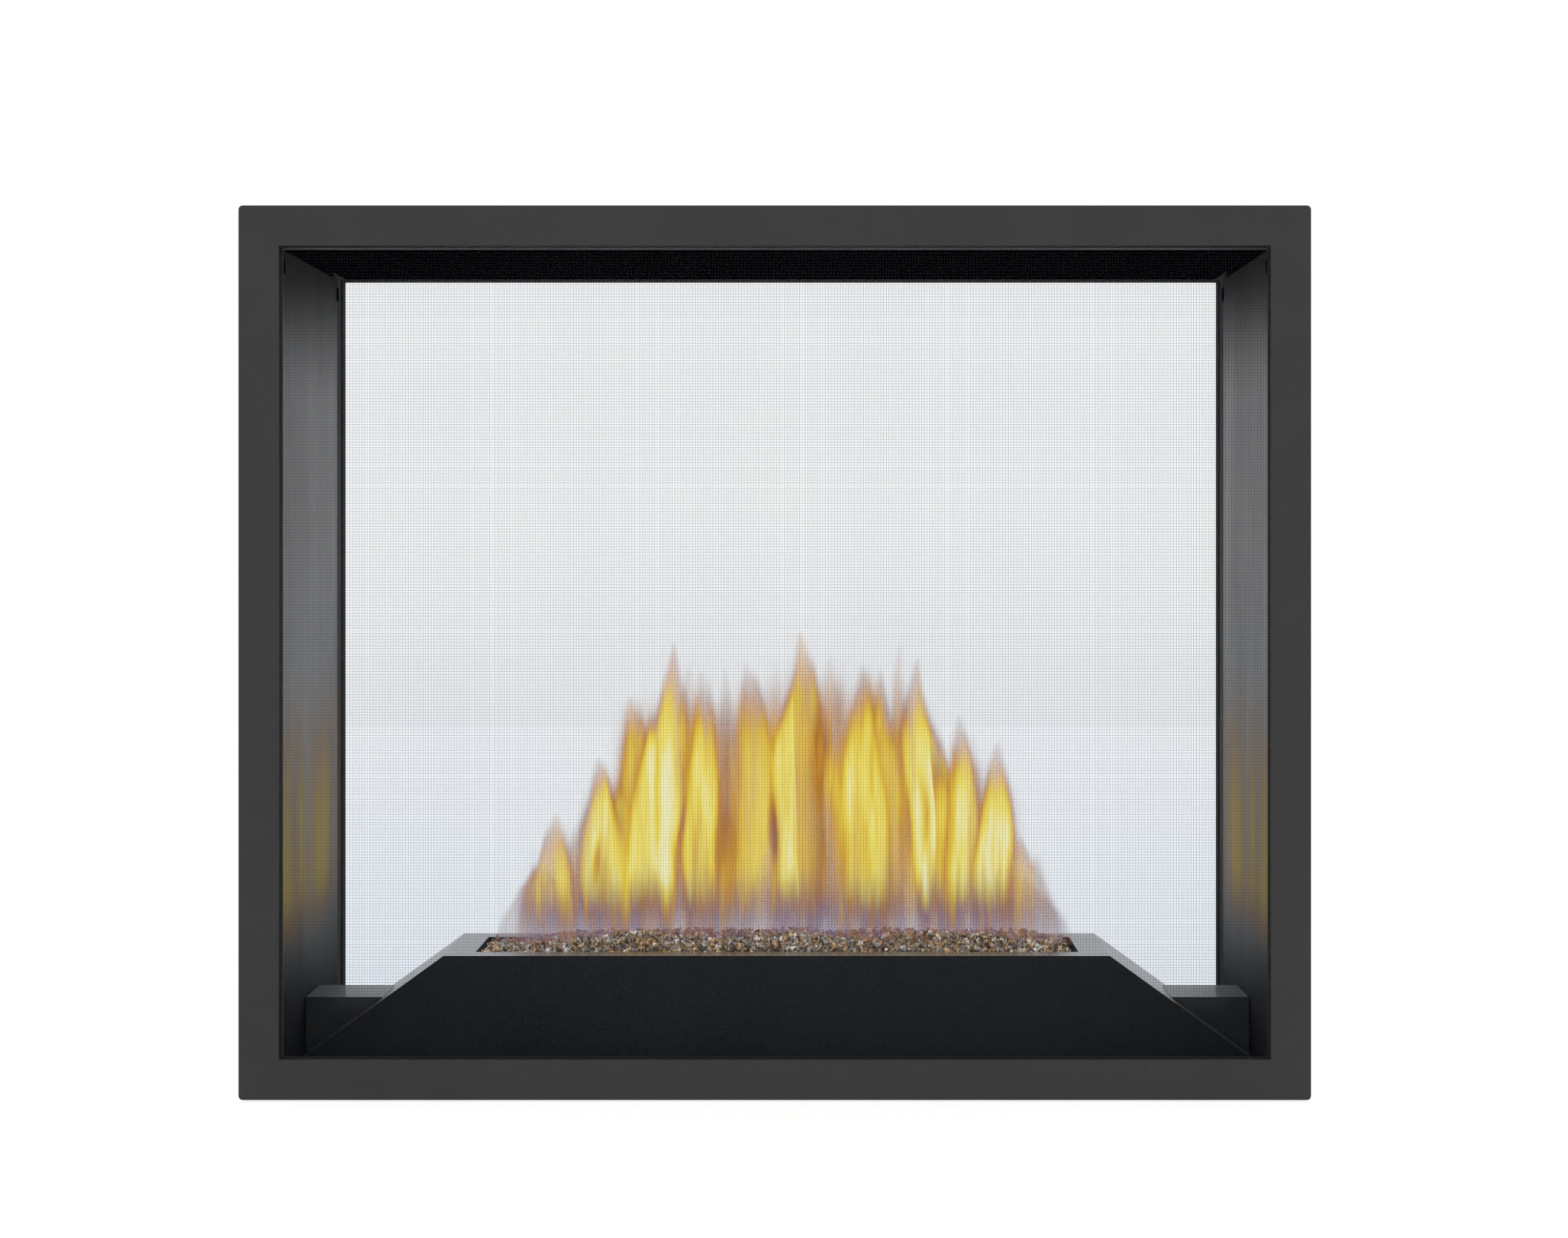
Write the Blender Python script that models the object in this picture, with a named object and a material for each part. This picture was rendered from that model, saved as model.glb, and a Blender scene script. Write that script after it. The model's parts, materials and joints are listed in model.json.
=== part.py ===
"""See-through gas fireplace: a firebox open to two rooms, with a raised burner housing in the middle.

The frame is X to the right, Y from the front room to the rear room and Z up, in metres.
The origin is on the floor under the middle of the cabinet. Front and rear are the same parts,
the rear ones turned half round about Z, so a depth is counted outward from the middle plane.
"""

import math

import bmesh
import bpy
from mathutils import Matrix, Vector, noise

# Driving sizes
FACE_WIDTH = 1.065
FACE_HEIGHT = 0.888
FACE_BAR = 0.040
BODY_DEPTH = 0.620
FLOOR_CLEARANCE = 0.002

# Clearances shared by all parts
FIT_GAP = 0.0003
RUN_GAP = 0.0005
OVERRUN = 0.005
WELD = 0.000001
SMOOTH_ANGLE = math.radians(35)
FLANK_SLOPE = math.sin(math.radians(5))

# Face: a folded sheet frame, with a woven screen set into its opening
FACE_SHEET = 0.0015
FACE_EDGE_BREAK = 0.0007
FACE_CORNER_RADIUS = 0.004
FACE_INNER_RADIUS = 0.0008
FACE_RETURN_DEPTH = 0.033
FACE_SIDE_DEPTH = 0.025
SCREEN_RECESS = 0.0005
SCREEN_THICKNESS = 0.0009
SCREEN_STRAND = 0.0040
SCREEN_COLUMNS = 12
SCREEN_ROWS = 10

# Casing: the outer sheet-metal box
CASING_INSET = 0.0125
CASING_FACE_GAP = 0.001
CASING_DROP = 0.008
CASING_SHEET = 0.0012
CASING_FLANGE = 0.0095
CASING_LIP = 0.004
RAIL_WIDTH = 0.040
RAIL_HEIGHT = 0.0102
RAIL_SHEET = 0.0015
RAIL_INSET = 0.070
RAIL_SETBACK = 0.014
BASE_SHEET = 0.0015
BASE_LIP = 0.006
NAIL_LEG = 0.011
NAIL_HEIGHT = 0.620
NAIL_SETBACK = 0.020
NAIL_SLOT_RADIUS = 0.0022
NAIL_SLOT_COUNT = 4

# Studs that the faces push on with
STUD_SHOULDER_RADIUS = 0.0030
STUD_TIP_RADIUS = 0.0020
STUD_TIP_LENGTH = 0.0105
STUD_FROM_ENDS = 0.110

# Glass door at each opening
DOOR_BACK_FROM_RETURN = 0.0095
DOOR_DEPTH = 0.010
DOOR_EDGE_OUT = 0.0010
DOOR_BAR = 0.0145
DOOR_SHEET = 0.0015
DOOR_DROP = 0.002
GLASS_THICKNESS = 0.005
GASKET_WIDTH = 0.008
GASKET_INSET = 0.0035
SEAT_STANDOFF = 0.003
SEAT_SHEET = 0.0015
SEAT_EDGE_OUT = 0.0020
SEAT_DROP = 0.0055
SEAT_RISE = 0.0005
SEAT_BAR = 0.0175
DOOR_REST_WIDTH = 0.030
DOOR_REST_SPACING = 0.700

# Latches that hold the top of each door
LATCH_SPACING = 0.700
LATCH_WIDTH = 0.016
LATCH_SHEET = 0.0013
LATCH_PIVOT_RISE = 0.0045
LATCH_PIVOT_OUT = 0.0043
LATCH_BARREL_RADIUS = 0.0023
LATCH_PIN_RADIUS = 0.0011
LATCH_RISE = 0.0133
LATCH_REACH = 0.0183
LATCH_PULL = 0.0045
LATCH_STEM_START_SHARE = 0.8
BRACKET_EAR = 0.0015
BRACKET_PLATE = 0.0010
BRACKET_HEIGHT = 0.006

# Firebox
PANEL_SETBACK = 0.003
PANEL_THICKNESS = 0.004
PANEL_END_GAP = 0.0025
PANEL_NOTCH_WIDTH = 0.026
WALL_SHEET = 0.0012
FLOOR_LEG = 0.0077
FLOOR_SHEET = 0.0015
FLOOR_OPENING_WIDTH = 0.860
FLOOR_OPENING_DEPTH = 0.250
FIREBOX_TOP_RISE = 0.013
BAFFLE_SHEET = 0.0015
BAFFLE_END_SLOT = 0.010
SCREW_HEAD_RADIUS = 0.0036
SCREW_HEAD_HEIGHT = 0.0022
SCREW_CROWN_SHARE = 0.7
SCREW_RIM_SHARE = 0.33
SCREW_ROW_OUT = 0.106
SCREW_PITCH = 0.169
SCREW_END_INSET = 0.011
CLIP_WIDTH = 0.010
CLIP_HEIGHT = 0.014
CLIP_THICKNESS = 0.0012
CLIP_FROM_TOP = 0.010
CLIP_FROM_FLOOR = 0.004

# Flue collars
EXHAUST_RADIUS = 0.050
INTAKE_RADIUS = 0.084
COLLAR_SHEET = 0.0012
COLLAR_FLANGE = 0.012
COLLAR_BEAD = 0.0015
COLLAR_BEAD_DROP = 0.008
INTAKE_HEIGHT = 0.021
EXHAUST_HEIGHT = 0.041

# Burner housing: the hump across the firebox, and the ledges at its two ends
HOUSING_END_MARGIN = 0.030
HOUSING_FOOT_WIDTH = 0.990
HOUSING_HEIGHT = 0.109
HOUSING_DEPTH = 0.270
HOUSING_SHEET = 0.0012
LEDGE_HEIGHT = 0.0596
LEDGE_DEPTH = 0.128
LEDGE_SHEET = 0.0012
LEDGE_END_LENGTH = 0.0262
LEDGE_WALL_GAP = 0.0015
ENTRY_HOLE_RADIUS = 0.009

# Burner
TRAY_LENGTH = 0.628
TRAY_WIDTH = 0.178
TRAY_DEPTH = 0.0445
TRAY_SHEET = 0.0012
PILOT_ZONE = 0.048
PAN_END_GAP = 0.006
PAN_SIDE_GAP = 0.008
PAN_HEIGHT = 0.0245
PAN_EDGE_BREAK = 0.003
PORT_RADIUS = 0.003
PORT_COUNT = 12
PORT_DEPTH = 0.006
EMBER_BED = 0.017
EMBER_PEAK = 0.014
EMBER_PIECE = 0.017
EMBER_SIDE_GAP = 0.003
EMBER_CROWN_POWERS = (6, 4)
EMBER_CROWN_SHARE = 0.62
EMBER_GRAIN_SHARE = 0.55
EMBER_GRAIN_STEP = 0.83
EMBER_JITTER_SHARE = 0.3
EMBER_RIM_SHARE = 0.99
EMBER_SEED = 1796046266

# Gas train under the burner, along one line
GAS_LINE_RISE = 0.038
MIXER_RADIUS = 0.0125
MIXER_WALL = 0.0012
MIXER_RISE_X = -0.060
MIXER_BEND = 0.020
MIXER_MOUTH_X = -0.190
SHUTTER_LENGTH = 0.024
SHUTTER_WALL = 0.0011
SHUTTER_OVERHANG = 0.003
SHUTTER_TAB = 0.012
SHUTTER_TAB_WIDTH = 0.008
WINDOW_RADIUS = 0.005
ORIFICE_LENGTH = 0.018
ORIFICE_RADIUS = 0.0055
ORIFICE_BORE = 0.0010
ORIFICE_GAP = 0.010
ORIFICE_TIP_SHARE = 0.55
ORIFICE_SHOULDER_SHARE = 0.8
ORIFICE_HEXAGON_SHARE = 0.7
PIPE_RADIUS = 0.0060
MANIFOLD_LENGTH = 0.032
VALVE_LENGTH = 0.080
VALVE_WIDTH = 0.056
VALVE_HEIGHT = 0.034
VALVE_FOOT = 0.0015
VALVE_EDGE_BREAK = 0.004
SOLENOID_RADIUS = 0.009
SOLENOID_HEIGHT = 0.008
SOLENOID_PLACE_SHARES = (0.55, 0.82)
VALVE_OFFSET_SHARE = 0.33
VALVE_FOOT_SHARE = 0.25
KNOB_RADIUS = 0.0085
KNOB_HEIGHT = 0.011
KNOB_GRIP = 0.0012
KNOB_PLACE_SHARE = 0.25
COCK_LENGTH = 0.040
COCK_RADIUS = 0.0100
COCK_STEM_RADIUS = 0.0040
COCK_STEM_HEIGHT = 0.0045
COCK_NECK_SHARE = 0.2
COCK_SHOULDER_SHARE = 0.3
LEVER_LENGTH = 0.050
LEVER_WIDTH = 0.010
LEVER_SHEET = 0.0025
LEVER_NECK_SHARE = 0.25
LEVER_CORNER_SHARE = 0.6
PILOT_TUBE_RADIUS = 0.0020
PILOT_TUBE_RUN = 0.015
PILOT_PLATE = 0.0015
PILOT_PLATE_WIDTH = 0.026
PILOT_PLATE_DEPTH = 0.044
PILOT_HOOD_RADIUS = 0.0060
PILOT_HOOD_HEIGHT = 0.030
PILOT_HOOD_WALL = 0.0010
PILOT_FLAME_HOLE_SHARE = 0.75
ELECTRODE_RADIUS = 0.0012
ELECTRODE_SLEEVE_RADIUS = 0.0028
ELECTRODE_HEIGHT = 0.036
ELECTRODE_SPACING = 0.024

# Electrical parts under the burner
MODULE_SIZE = (0.120, 0.080, 0.032)
MODULE_CENTRE_X = 0.240
MODULE_EDGE_BREAK = 0.003
BOX_SIZE = (0.056, 0.060, 0.044)
BOX_CENTRE_X = 0.385
BOX_KNOCKOUT_RADIUS = 0.011
BOX_KNOCKOUT_DEPTH = 0.0012

# Places worked out from the sizes
FACE_OUT = BODY_DEPTH / 2
OPENING_HALF = FACE_WIDTH / 2 - FACE_BAR
OPENING_LOW = FLOOR_CLEARANCE + FACE_BAR
OPENING_HIGH = FLOOR_CLEARANCE + FACE_HEIGHT - FACE_BAR
RETURN_OUT = FACE_OUT - FACE_RETURN_DEPTH
CASING_HALF = FACE_WIDTH / 2 - CASING_INSET
CASING_OUT = FACE_OUT - FACE_SIDE_DEPTH - CASING_FACE_GAP
CASING_TOP = FLOOR_CLEARANCE + FACE_HEIGHT - CASING_DROP
BASE_LOW = RAIL_HEIGHT + FIT_GAP
BASE_TOP = BASE_LOW + BASE_SHEET
FLOOR_TOP = BASE_TOP + FIT_GAP + FLOOR_LEG
DOOR_FRONT_OUT = RETURN_OUT - DOOR_BACK_FROM_RETURN
DOOR_BACK_OUT = DOOR_FRONT_OUT - DOOR_DEPTH
GLASS_FRONT_OUT = DOOR_FRONT_OUT - DOOR_SHEET - FIT_GAP
GLASS_BACK_OUT = GLASS_FRONT_OUT - GLASS_THICKNESS
SEAT_OUT = DOOR_BACK_OUT - SEAT_STANDOFF
FIREBOX_OUT = SEAT_OUT - SEAT_SHEET - FIT_GAP
DOOR_HALF = OPENING_HALF + DOOR_EDGE_OUT
DOOR_LOW = OPENING_LOW - DOOR_DROP
DOOR_HIGH = OPENING_HIGH + DOOR_EDGE_OUT
DOOR_HINGE_Z = DOOR_LOW - DOOR_BAR
PANEL_IN = OPENING_HALF + PANEL_SETBACK
WALL_IN = PANEL_IN + PANEL_THICKNESS + FIT_GAP
WALL_OUT = WALL_IN + WALL_SHEET
FIREBOX_TOP_LOW = OPENING_HIGH + BAFFLE_SHEET + FIREBOX_TOP_RISE
FIREBOX_TOP_HIGH = FIREBOX_TOP_LOW + WALL_SHEET
CASING_TOP_LOW = CASING_TOP - CASING_SHEET
STUD_X = CASING_HALF - CASING_SHEET - FIT_GAP - STUD_SHOULDER_RADIUS - RUN_GAP
HOUSING_LOW = FLOOR_TOP + FIT_GAP
HOUSING_TOP = FLOOR_TOP + HOUSING_HEIGHT
HOUSING_TOP_WIDTH = TRAY_LENGTH + 2 * HOUSING_END_MARGIN
SLOPE_RUN = (HOUSING_FOOT_WIDTH - HOUSING_TOP_WIDTH) / 2 / HOUSING_HEIGHT
LEDGE_TOP = FLOOR_TOP + LEDGE_HEIGHT
LEDGE_OUT = PANEL_IN - LEDGE_WALL_GAP
TRAY_LOW = HOUSING_TOP - TRAY_DEPTH
PAN_LOW = TRAY_LOW + TRAY_SHEET + FIT_GAP
PAN_TOP = PAN_LOW + PAN_HEIGHT
PAN_LEFT = -TRAY_LENGTH / 2 + TRAY_SHEET + PILOT_ZONE
PAN_RIGHT = TRAY_LENGTH / 2 - TRAY_SHEET - PAN_END_GAP
PAN_HALF = TRAY_WIDTH / 2 - TRAY_SHEET - PAN_SIDE_GAP
GAS_Z = BASE_TOP + GAS_LINE_RISE
ORIFICE_RIGHT = MIXER_MOUTH_X - ORIFICE_GAP
ORIFICE_LEFT = ORIFICE_RIGHT - ORIFICE_LENGTH
MANIFOLD_LEFT = ORIFICE_LEFT - FIT_GAP - MANIFOLD_LENGTH
VALVE_RIGHT = MANIFOLD_LEFT - FIT_GAP
VALVE_LEFT = VALVE_RIGHT - VALVE_LENGTH
VALVE_TOP = GAS_Z + VALVE_HEIGHT / 2
COCK_RIGHT = VALVE_LEFT - FIT_GAP
COCK_LEFT = COCK_RIGHT - COCK_LENGTH
COCK_X = COCK_RIGHT - COCK_LENGTH / 2
KNOB_X = VALVE_LEFT + VALVE_LENGTH * KNOB_PLACE_SHARE
PILOT_X = -TRAY_LENGTH / 2 + TRAY_SHEET + PILOT_ZONE / 2
PILOT_Y = VALVE_WIDTH / 2 + PILOT_TUBE_RUN
PILOT_PLATE_LOW = PAN_LOW
PILOT_PLATE_TOP = PILOT_PLATE_LOW + PILOT_PLATE


def clear_scene():
    for item in list(bpy.data.objects):
        bpy.data.objects.remove(item, do_unlink=True)


def material(name, colour, roughness, metallic=0.0, alpha=1.0):
    shader_material = bpy.data.materials.new(name)
    shader_material.use_nodes = True
    shader = shader_material.node_tree.nodes["Principled BSDF"]
    shader.inputs["Base Color"].default_value = (*colour, 1.0)
    shader.inputs["Roughness"].default_value = roughness
    shader.inputs["Metallic"].default_value = metallic
    shader.inputs["Alpha"].default_value = alpha
    return shader_material


def add_object(name, form, finish, pivot=None, smooth=False):
    """Turn a bmesh into an object, placed from the pivot that it moves about if it has one."""
    if pivot:
        form.transform(Matrix.Translation(-pivot.location))
    form.normal_update()
    bmesh.ops.recalc_face_normals(form, faces=form.faces)
    mesh = bpy.data.meshes.new(name)
    form.to_mesh(mesh)
    form.free()
    if smooth:
        mesh.shade_smooth()
        mesh.set_sharp_from_angle(angle=SMOOTH_ANGLE)
    item = bpy.data.objects.new(name, mesh)
    bpy.context.scene.collection.objects.link(item)
    if finish:
        mesh.materials.append(finish)
    if pivot:
        item.parent = pivot
    return item


def add_pivot(name, place):
    pivot = bpy.data.objects.new(name, None)
    pivot.location = place
    bpy.context.scene.collection.objects.link(pivot)
    return pivot


def combine(item, form, operation="DIFFERENCE"):
    """Cut a form out of an object, or weld it on."""
    tool = add_object(item.name + "_tool", form, None, item.parent)
    tool.hide_render = True
    tool.display_type = "WIRE"
    step = item.modifiers.new(operation.lower(), "BOOLEAN")
    step.operation = operation
    step.solver = "EXACT"
    step.object = tool
    return item


def joined(forms):
    """Gather several bmeshes into one."""
    whole = bmesh.new()
    for form in forms:
        mesh = bpy.data.meshes.new("gathered")
        form.to_mesh(mesh)
        form.free()
        whole.from_mesh(mesh)
        bpy.data.meshes.remove(mesh)
    return whole


def turned_round(form, rear):
    """Turn a front part half round about Z where it belongs to the rear."""
    if rear:
        form.transform(Matrix.Rotation(math.pi, 4, "Z"))
    return form


def mirrored(form, left):
    """Mirror a right-hand part where it belongs to the left."""
    if left:
        form.transform(Matrix.Scale(-1, 4, Vector((1, 0, 0))))
        bmesh.ops.reverse_faces(form, faces=form.faces)
        form.normal_update()
    return form


def moved(form, x=0, y=0, z=0):
    form.transform(Matrix.Translation((x, y, z)))
    return form


def laid_along(form, axis):
    """Lay a form made along +Z along +X or along -Y instead."""
    if axis == "X":
        form.transform(Matrix.Rotation(math.pi / 2, 4, "Y"))
    if axis == "Y":
        form.transform(Matrix.Rotation(math.pi / 2, 4, "X"))
    return form


def prism(outline, axis, start, end):
    """Extrude an outline along an axis. Its points are the other two coordinates, in X, Y, Z order."""
    form = bmesh.new()
    rings = []
    for level in (start, end):
        ring = []
        for first, second in outline:
            corner = {"X": (level, first, second), "Y": (first, level, second), "Z": (first, second, level)}
            ring.append(form.verts.new(corner[axis]))
        rings.append(ring)
    form.faces.new(rings[0])
    form.faces.new(reversed(rings[1]))
    count = len(outline)
    for index in range(count):
        following = (index + 1) % count
        form.faces.new((rings[0][index], rings[1][index], rings[1][following], rings[0][following]))
    bmesh.ops.recalc_face_normals(form, faces=form.faces)
    return form


def rectangle(low, high):
    return [(low[0], low[1]), (high[0], low[1]), (high[0], high[1]), (low[0], high[1])]


def block(low, high, edge_break=0):
    """A block between two corners, its long edges along X broken where a size is given."""
    form = prism(rectangle(low[1:], high[1:]), "X", low[0], high[0])
    if edge_break:
        edges = [edge for edge in form.edges if abs(edge.verts[0].co.x - edge.verts[1].co.x) > edge_break]
        bmesh.ops.bevel(form, geom=edges, offset=edge_break, segments=2, affect="EDGES", profile=0.5)
    return form


def folded(path, thickness):
    """Outline of a folded sheet: the path is its outer side and the sheet lies to the path's left."""
    inner = []
    points = [Vector(point) for point in path]
    for index, point in enumerate(points):
        normals = []
        for start, end in ((index - 1, index), (index, index + 1)):
            if start >= 0 and end < len(points):
                run = (points[end] - points[start]).normalized()
                normals.append(Vector((-run.y, run.x)))
        total = normals[0] + normals[-1]
        inner.append(point + total * (thickness / (1 + normals[0].dot(normals[-1]))))
    return [tuple(point) for point in points] + [tuple(point) for point in reversed(inner)]


def ring_loop(form, half_width, low, high, out, radius, steps):
    """One rounded rectangle of vertices facing the front, at a depth counted outward."""
    loop = []
    for quarter in range(4):
        right = quarter in (0, 3)
        upper = quarter in (0, 1)
        centre_x = half_width - radius if right else radius - half_width
        centre_z = high - radius if upper else low + radius
        for step in range(steps + 1):
            angle = math.pi / 2 * (quarter + step / steps)
            x = centre_x + radius * math.cos(angle)
            z = centre_z + radius * math.sin(angle)
            loop.append(form.verts.new((x, -out, z)))
    return loop


def frame_form(profile, half_width, low, high, steps=1):
    """Sweep a closed profile round an opening. Its points are (away from it, out, corner radius)."""
    form = bmesh.new()
    loops = []
    for away, out, radius in profile:
        loops.append(ring_loop(form, half_width + away, low - away, high + away, out, radius, steps))
    count = len(loops[0])
    for index, loop in enumerate(loops):
        other = loops[(index + 1) % len(loops)]
        for corner in range(count):
            following = (corner + 1) % count
            form.faces.new((loop[corner], loop[following], other[following], other[corner]))
    bmesh.ops.recalc_face_normals(form, faces=form.faces)
    return form


def turned(profile, segments, closed=False):
    """Turn a profile of (radius, height) about Z."""
    form = bmesh.new()
    points = [form.verts.new((radius, 0, height)) for radius, height in profile]
    edges = [form.edges.new(pair) for pair in zip(points, points[1:])]
    if closed:
        edges.append(form.edges.new((points[-1], points[0])))
    turn = {"cent": (0, 0, 0), "axis": (0, 0, 1), "angle": math.tau, "steps": segments}
    bmesh.ops.spin(form, geom=points + edges, use_merge=True, **turn)
    bmesh.ops.remove_doubles(form, verts=form.verts, dist=WELD)
    bmesh.ops.recalc_face_normals(form, faces=form.faces)
    return form


def rod(radius, length, segments=12):
    """A plain round bar along Z from the origin."""
    return turned([(0, length), (radius, length), (radius, 0), (0, 0)], segments)


def sleeve(radius, wall, length, segments=16):
    """A plain tube along Z from the origin."""
    inner = radius - wall
    return turned([(inner, length), (radius, length), (radius, 0), (inner, 0)], segments, closed=True)


def pipe(name, points, radius, finish, resolution=2):
    """A bent pipe as a bevelled curve with closed ends."""
    curve = bpy.data.curves.new(name, "CURVE")
    curve.dimensions = "3D"
    curve.bevel_depth = radius
    curve.bevel_resolution = resolution
    curve.use_fill_caps = True
    spline = curve.splines.new("POLY")
    spline.points.add(len(points) - 1)
    for target, point in zip(spline.points, points):
        target.co = (*point, 1.0)
    curve.materials.append(finish)
    item = bpy.data.objects.new(name, curve)
    bpy.context.scene.collection.objects.link(item)
    return item


def solid_of(item):
    """Read an object's evaluated shape into a bmesh and remove the object."""
    depsgraph = bpy.context.evaluated_depsgraph_get()
    form = bmesh.new()
    form.from_mesh(item.evaluated_get(depsgraph).to_mesh())
    bmesh.ops.remove_doubles(form, verts=form.verts, dist=WELD)
    bpy.data.objects.remove(item, do_unlink=True)
    return form


def elbow(start, corner, end, radius, steps=5):
    """Points of a route that turns from one straight run into another by a round bend."""
    start, corner, end = Vector(start), Vector(corner), Vector(end)
    into = (corner - start).normalized()
    away = (end - corner).normalized()
    centre = corner - into * radius + away * radius
    points = [start]
    for step in range(steps + 1):
        angle = math.pi / 2 * step / steps
        points.append(centre + into * (radius * math.sin(angle)) - away * (radius * math.cos(angle)))
    points.append(end)
    return points


def build_base(steel):
    """Two floor rails and the base pan that stands on them."""
    for name, side in (("left_base_rail", -1), ("right_base_rail", 1)):
        centre = side * (CASING_HALF - RAIL_INSET)
        left = centre - RAIL_WIDTH / 2
        right = centre + RAIL_WIDTH / 2
        path = [(left, RAIL_HEIGHT), (left, 0), (right, 0), (right, RAIL_HEIGHT)]
        half = CASING_OUT - RAIL_SETBACK
        add_object(name, prism(folded(path, RAIL_SHEET), "Y", -half, half), steel)
    path = [(-CASING_OUT, BASE_TOP + BASE_LIP), (-CASING_OUT, BASE_LOW)]
    path += [(CASING_OUT, BASE_LOW), (CASING_OUT, BASE_TOP + BASE_LIP)]
    add_object("base_pan", prism(folded(path, BASE_SHEET), "X", -CASING_HALF, CASING_HALF), steel)


def casing_panel(name, left, steel):
    """One side of the casing: a channel with a flange at each opening, drilled for the face studs."""
    out = CASING_OUT - BASE_SHEET - FIT_GAP
    inner = CASING_HALF - CASING_FLANGE
    path = [(inner, -out), (CASING_HALF, -out), (CASING_HALF, out), (inner, out)]
    top = CASING_TOP_LOW - FIT_GAP
    form = prism(folded(path, CASING_SHEET), "Z", BASE_TOP + FIT_GAP, top)
    item = add_object(name, mirrored(form, left), steel)
    combine(item, mirrored(nailing_flanges(), left), "UNION")
    reach = 2 * (out + OVERRUN)
    holes = []
    for z in stud_heights():
        hole = laid_along(rod(STUD_TIP_RADIUS + RUN_GAP, reach), "Y")
        holes.append(mirrored(moved(hole, x=STUD_X, y=reach / 2, z=z), left))
    if left:
        entry = laid_along(rod(ENTRY_HOLE_RADIUS, 2 * OVERRUN), "X")
        holes.append(moved(entry, x=-CASING_HALF - OVERRUN, z=GAS_Z))
    combine(item, joined(holes))


def nailing_flanges():
    """Slotted fins that stand out from the right side of the casing, one near each room."""
    out = CASING_OUT - NAIL_SETBACK
    middle = FLOOR_CLEARANCE + FACE_HEIGHT / 2
    low = middle - NAIL_HEIGHT / 2
    inner = CASING_HALF - CASING_SHEET / 2
    outer = CASING_HALF + NAIL_LEG
    fins = []
    for side in (-1, 1):
        outline = rectangle((inner, side * out), (outer, side * (out - CASING_SHEET)))
        fin = prism(outline, "Z", low, low + NAIL_HEIGHT)
        slots = []
        for index in range(NAIL_SLOT_COUNT):
            slot = laid_along(rod(NAIL_SLOT_RADIUS, 2 * OVERRUN, 8), "Y")
            z = low + NAIL_HEIGHT * (index + 0.5) / NAIL_SLOT_COUNT
            slots.append(moved(slot, x=(CASING_HALF + outer) / 2, y=side * out + OVERRUN, z=z))
        fins.append(welded(fin, joined(slots), "DIFFERENCE"))
    return joined(fins)


def stud_heights():
    return (FLOOR_CLEARANCE + STUD_FROM_ENDS, FLOOR_CLEARANCE + FACE_HEIGHT - STUD_FROM_ENDS)


def build_casing(steel):
    casing_panel("left_casing_panel", True, steel)
    casing_panel("right_casing_panel", False, steel)
    top_path = [(-CASING_OUT, CASING_TOP + CASING_LIP), (-CASING_OUT, CASING_TOP_LOW)]
    top_path += [(CASING_OUT, CASING_TOP_LOW), (CASING_OUT, CASING_TOP + CASING_LIP)]
    form = prism(folded(top_path, CASING_SHEET), "X", -CASING_HALF, CASING_HALF)
    top = add_object("casing_top", form, steel)
    hole = rod(INTAKE_RADIUS - COLLAR_SHEET, 2 * OVERRUN, 24)
    combine(top, moved(hole, z=CASING_TOP_LOW - OVERRUN))


def build_firebox(steel, black, mirror_glass):
    """Inner box: side walls with dark reflective panels, floor, top, and the baffle below it."""
    for left in (False, True):
        side = "left" if left else "right"
        outline = rectangle((-FIREBOX_OUT, BASE_TOP + FIT_GAP), (FIREBOX_OUT, FIREBOX_TOP_LOW - FIT_GAP))
        wall = add_object(
            side + "_firebox_wall", mirrored(prism(outline, "X", WALL_IN, WALL_OUT), left), steel
        )
        combine(wall, mirrored(panel_clips(), left), "UNION")
        half = FIREBOX_OUT - PANEL_END_GAP
        low = FLOOR_TOP + FIT_GAP
        high = OPENING_HIGH - FIT_GAP
        outline = [(half, low), (half, high), (-half, high), (-half, low)]
        if left:
            hole = laid_along(rod(ENTRY_HOLE_RADIUS, 2 * OVERRUN), "X")
            combine(wall, moved(hole, x=-WALL_OUT - OVERRUN, z=GAS_Z))
            notch = PANEL_NOTCH_WIDTH / 2
            outline += [(-notch, low), (-notch, GAS_Z + notch), (notch, GAS_Z + notch), (notch, low)]
        panel = prism(outline, "X", PANEL_IN, PANEL_IN + PANEL_THICKNESS)
        add_object(side + "_reflective_panel", mirrored(panel, left), mirror_glass)

    half = WALL_IN - FIT_GAP
    path = [(half, BASE_TOP + FIT_GAP), (half, FLOOR_TOP), (-half, FLOOR_TOP), (-half, BASE_TOP + FIT_GAP)]
    floor = add_object(
        "firebox_floor", prism(folded(path, FLOOR_SHEET), "Y", -FIREBOX_OUT, FIREBOX_OUT), black
    )
    opening = (FLOOR_OPENING_WIDTH / 2, FLOOR_OPENING_DEPTH / 2)
    combine(floor, block((-opening[0], -opening[1], FLOOR_TOP - OVERRUN), (*opening, FLOOR_TOP + OVERRUN)))

    outline = rectangle((-FIREBOX_OUT, FIREBOX_TOP_LOW), (FIREBOX_OUT, FIREBOX_TOP_HIGH))
    top = add_object("firebox_top", prism(outline, "X", -WALL_OUT, WALL_OUT), steel)
    port = rod(EXHAUST_RADIUS - COLLAR_SHEET, 2 * OVERRUN, 24)
    combine(top, moved(port, z=FIREBOX_TOP_LOW - OVERRUN))

    out = FIREBOX_OUT - PANEL_END_GAP
    edge_top = FIREBOX_TOP_LOW - FIT_GAP
    path = [(-out, edge_top), (-out, OPENING_HIGH), (out, OPENING_HIGH), (out, edge_top)]
    reach = PANEL_IN - BAFFLE_END_SLOT
    baffle = add_object("ceiling_baffle", prism(folded(path, BAFFLE_SHEET), "X", -reach, reach), black)
    combine(baffle, ceiling_screws(), "UNION")


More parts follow.
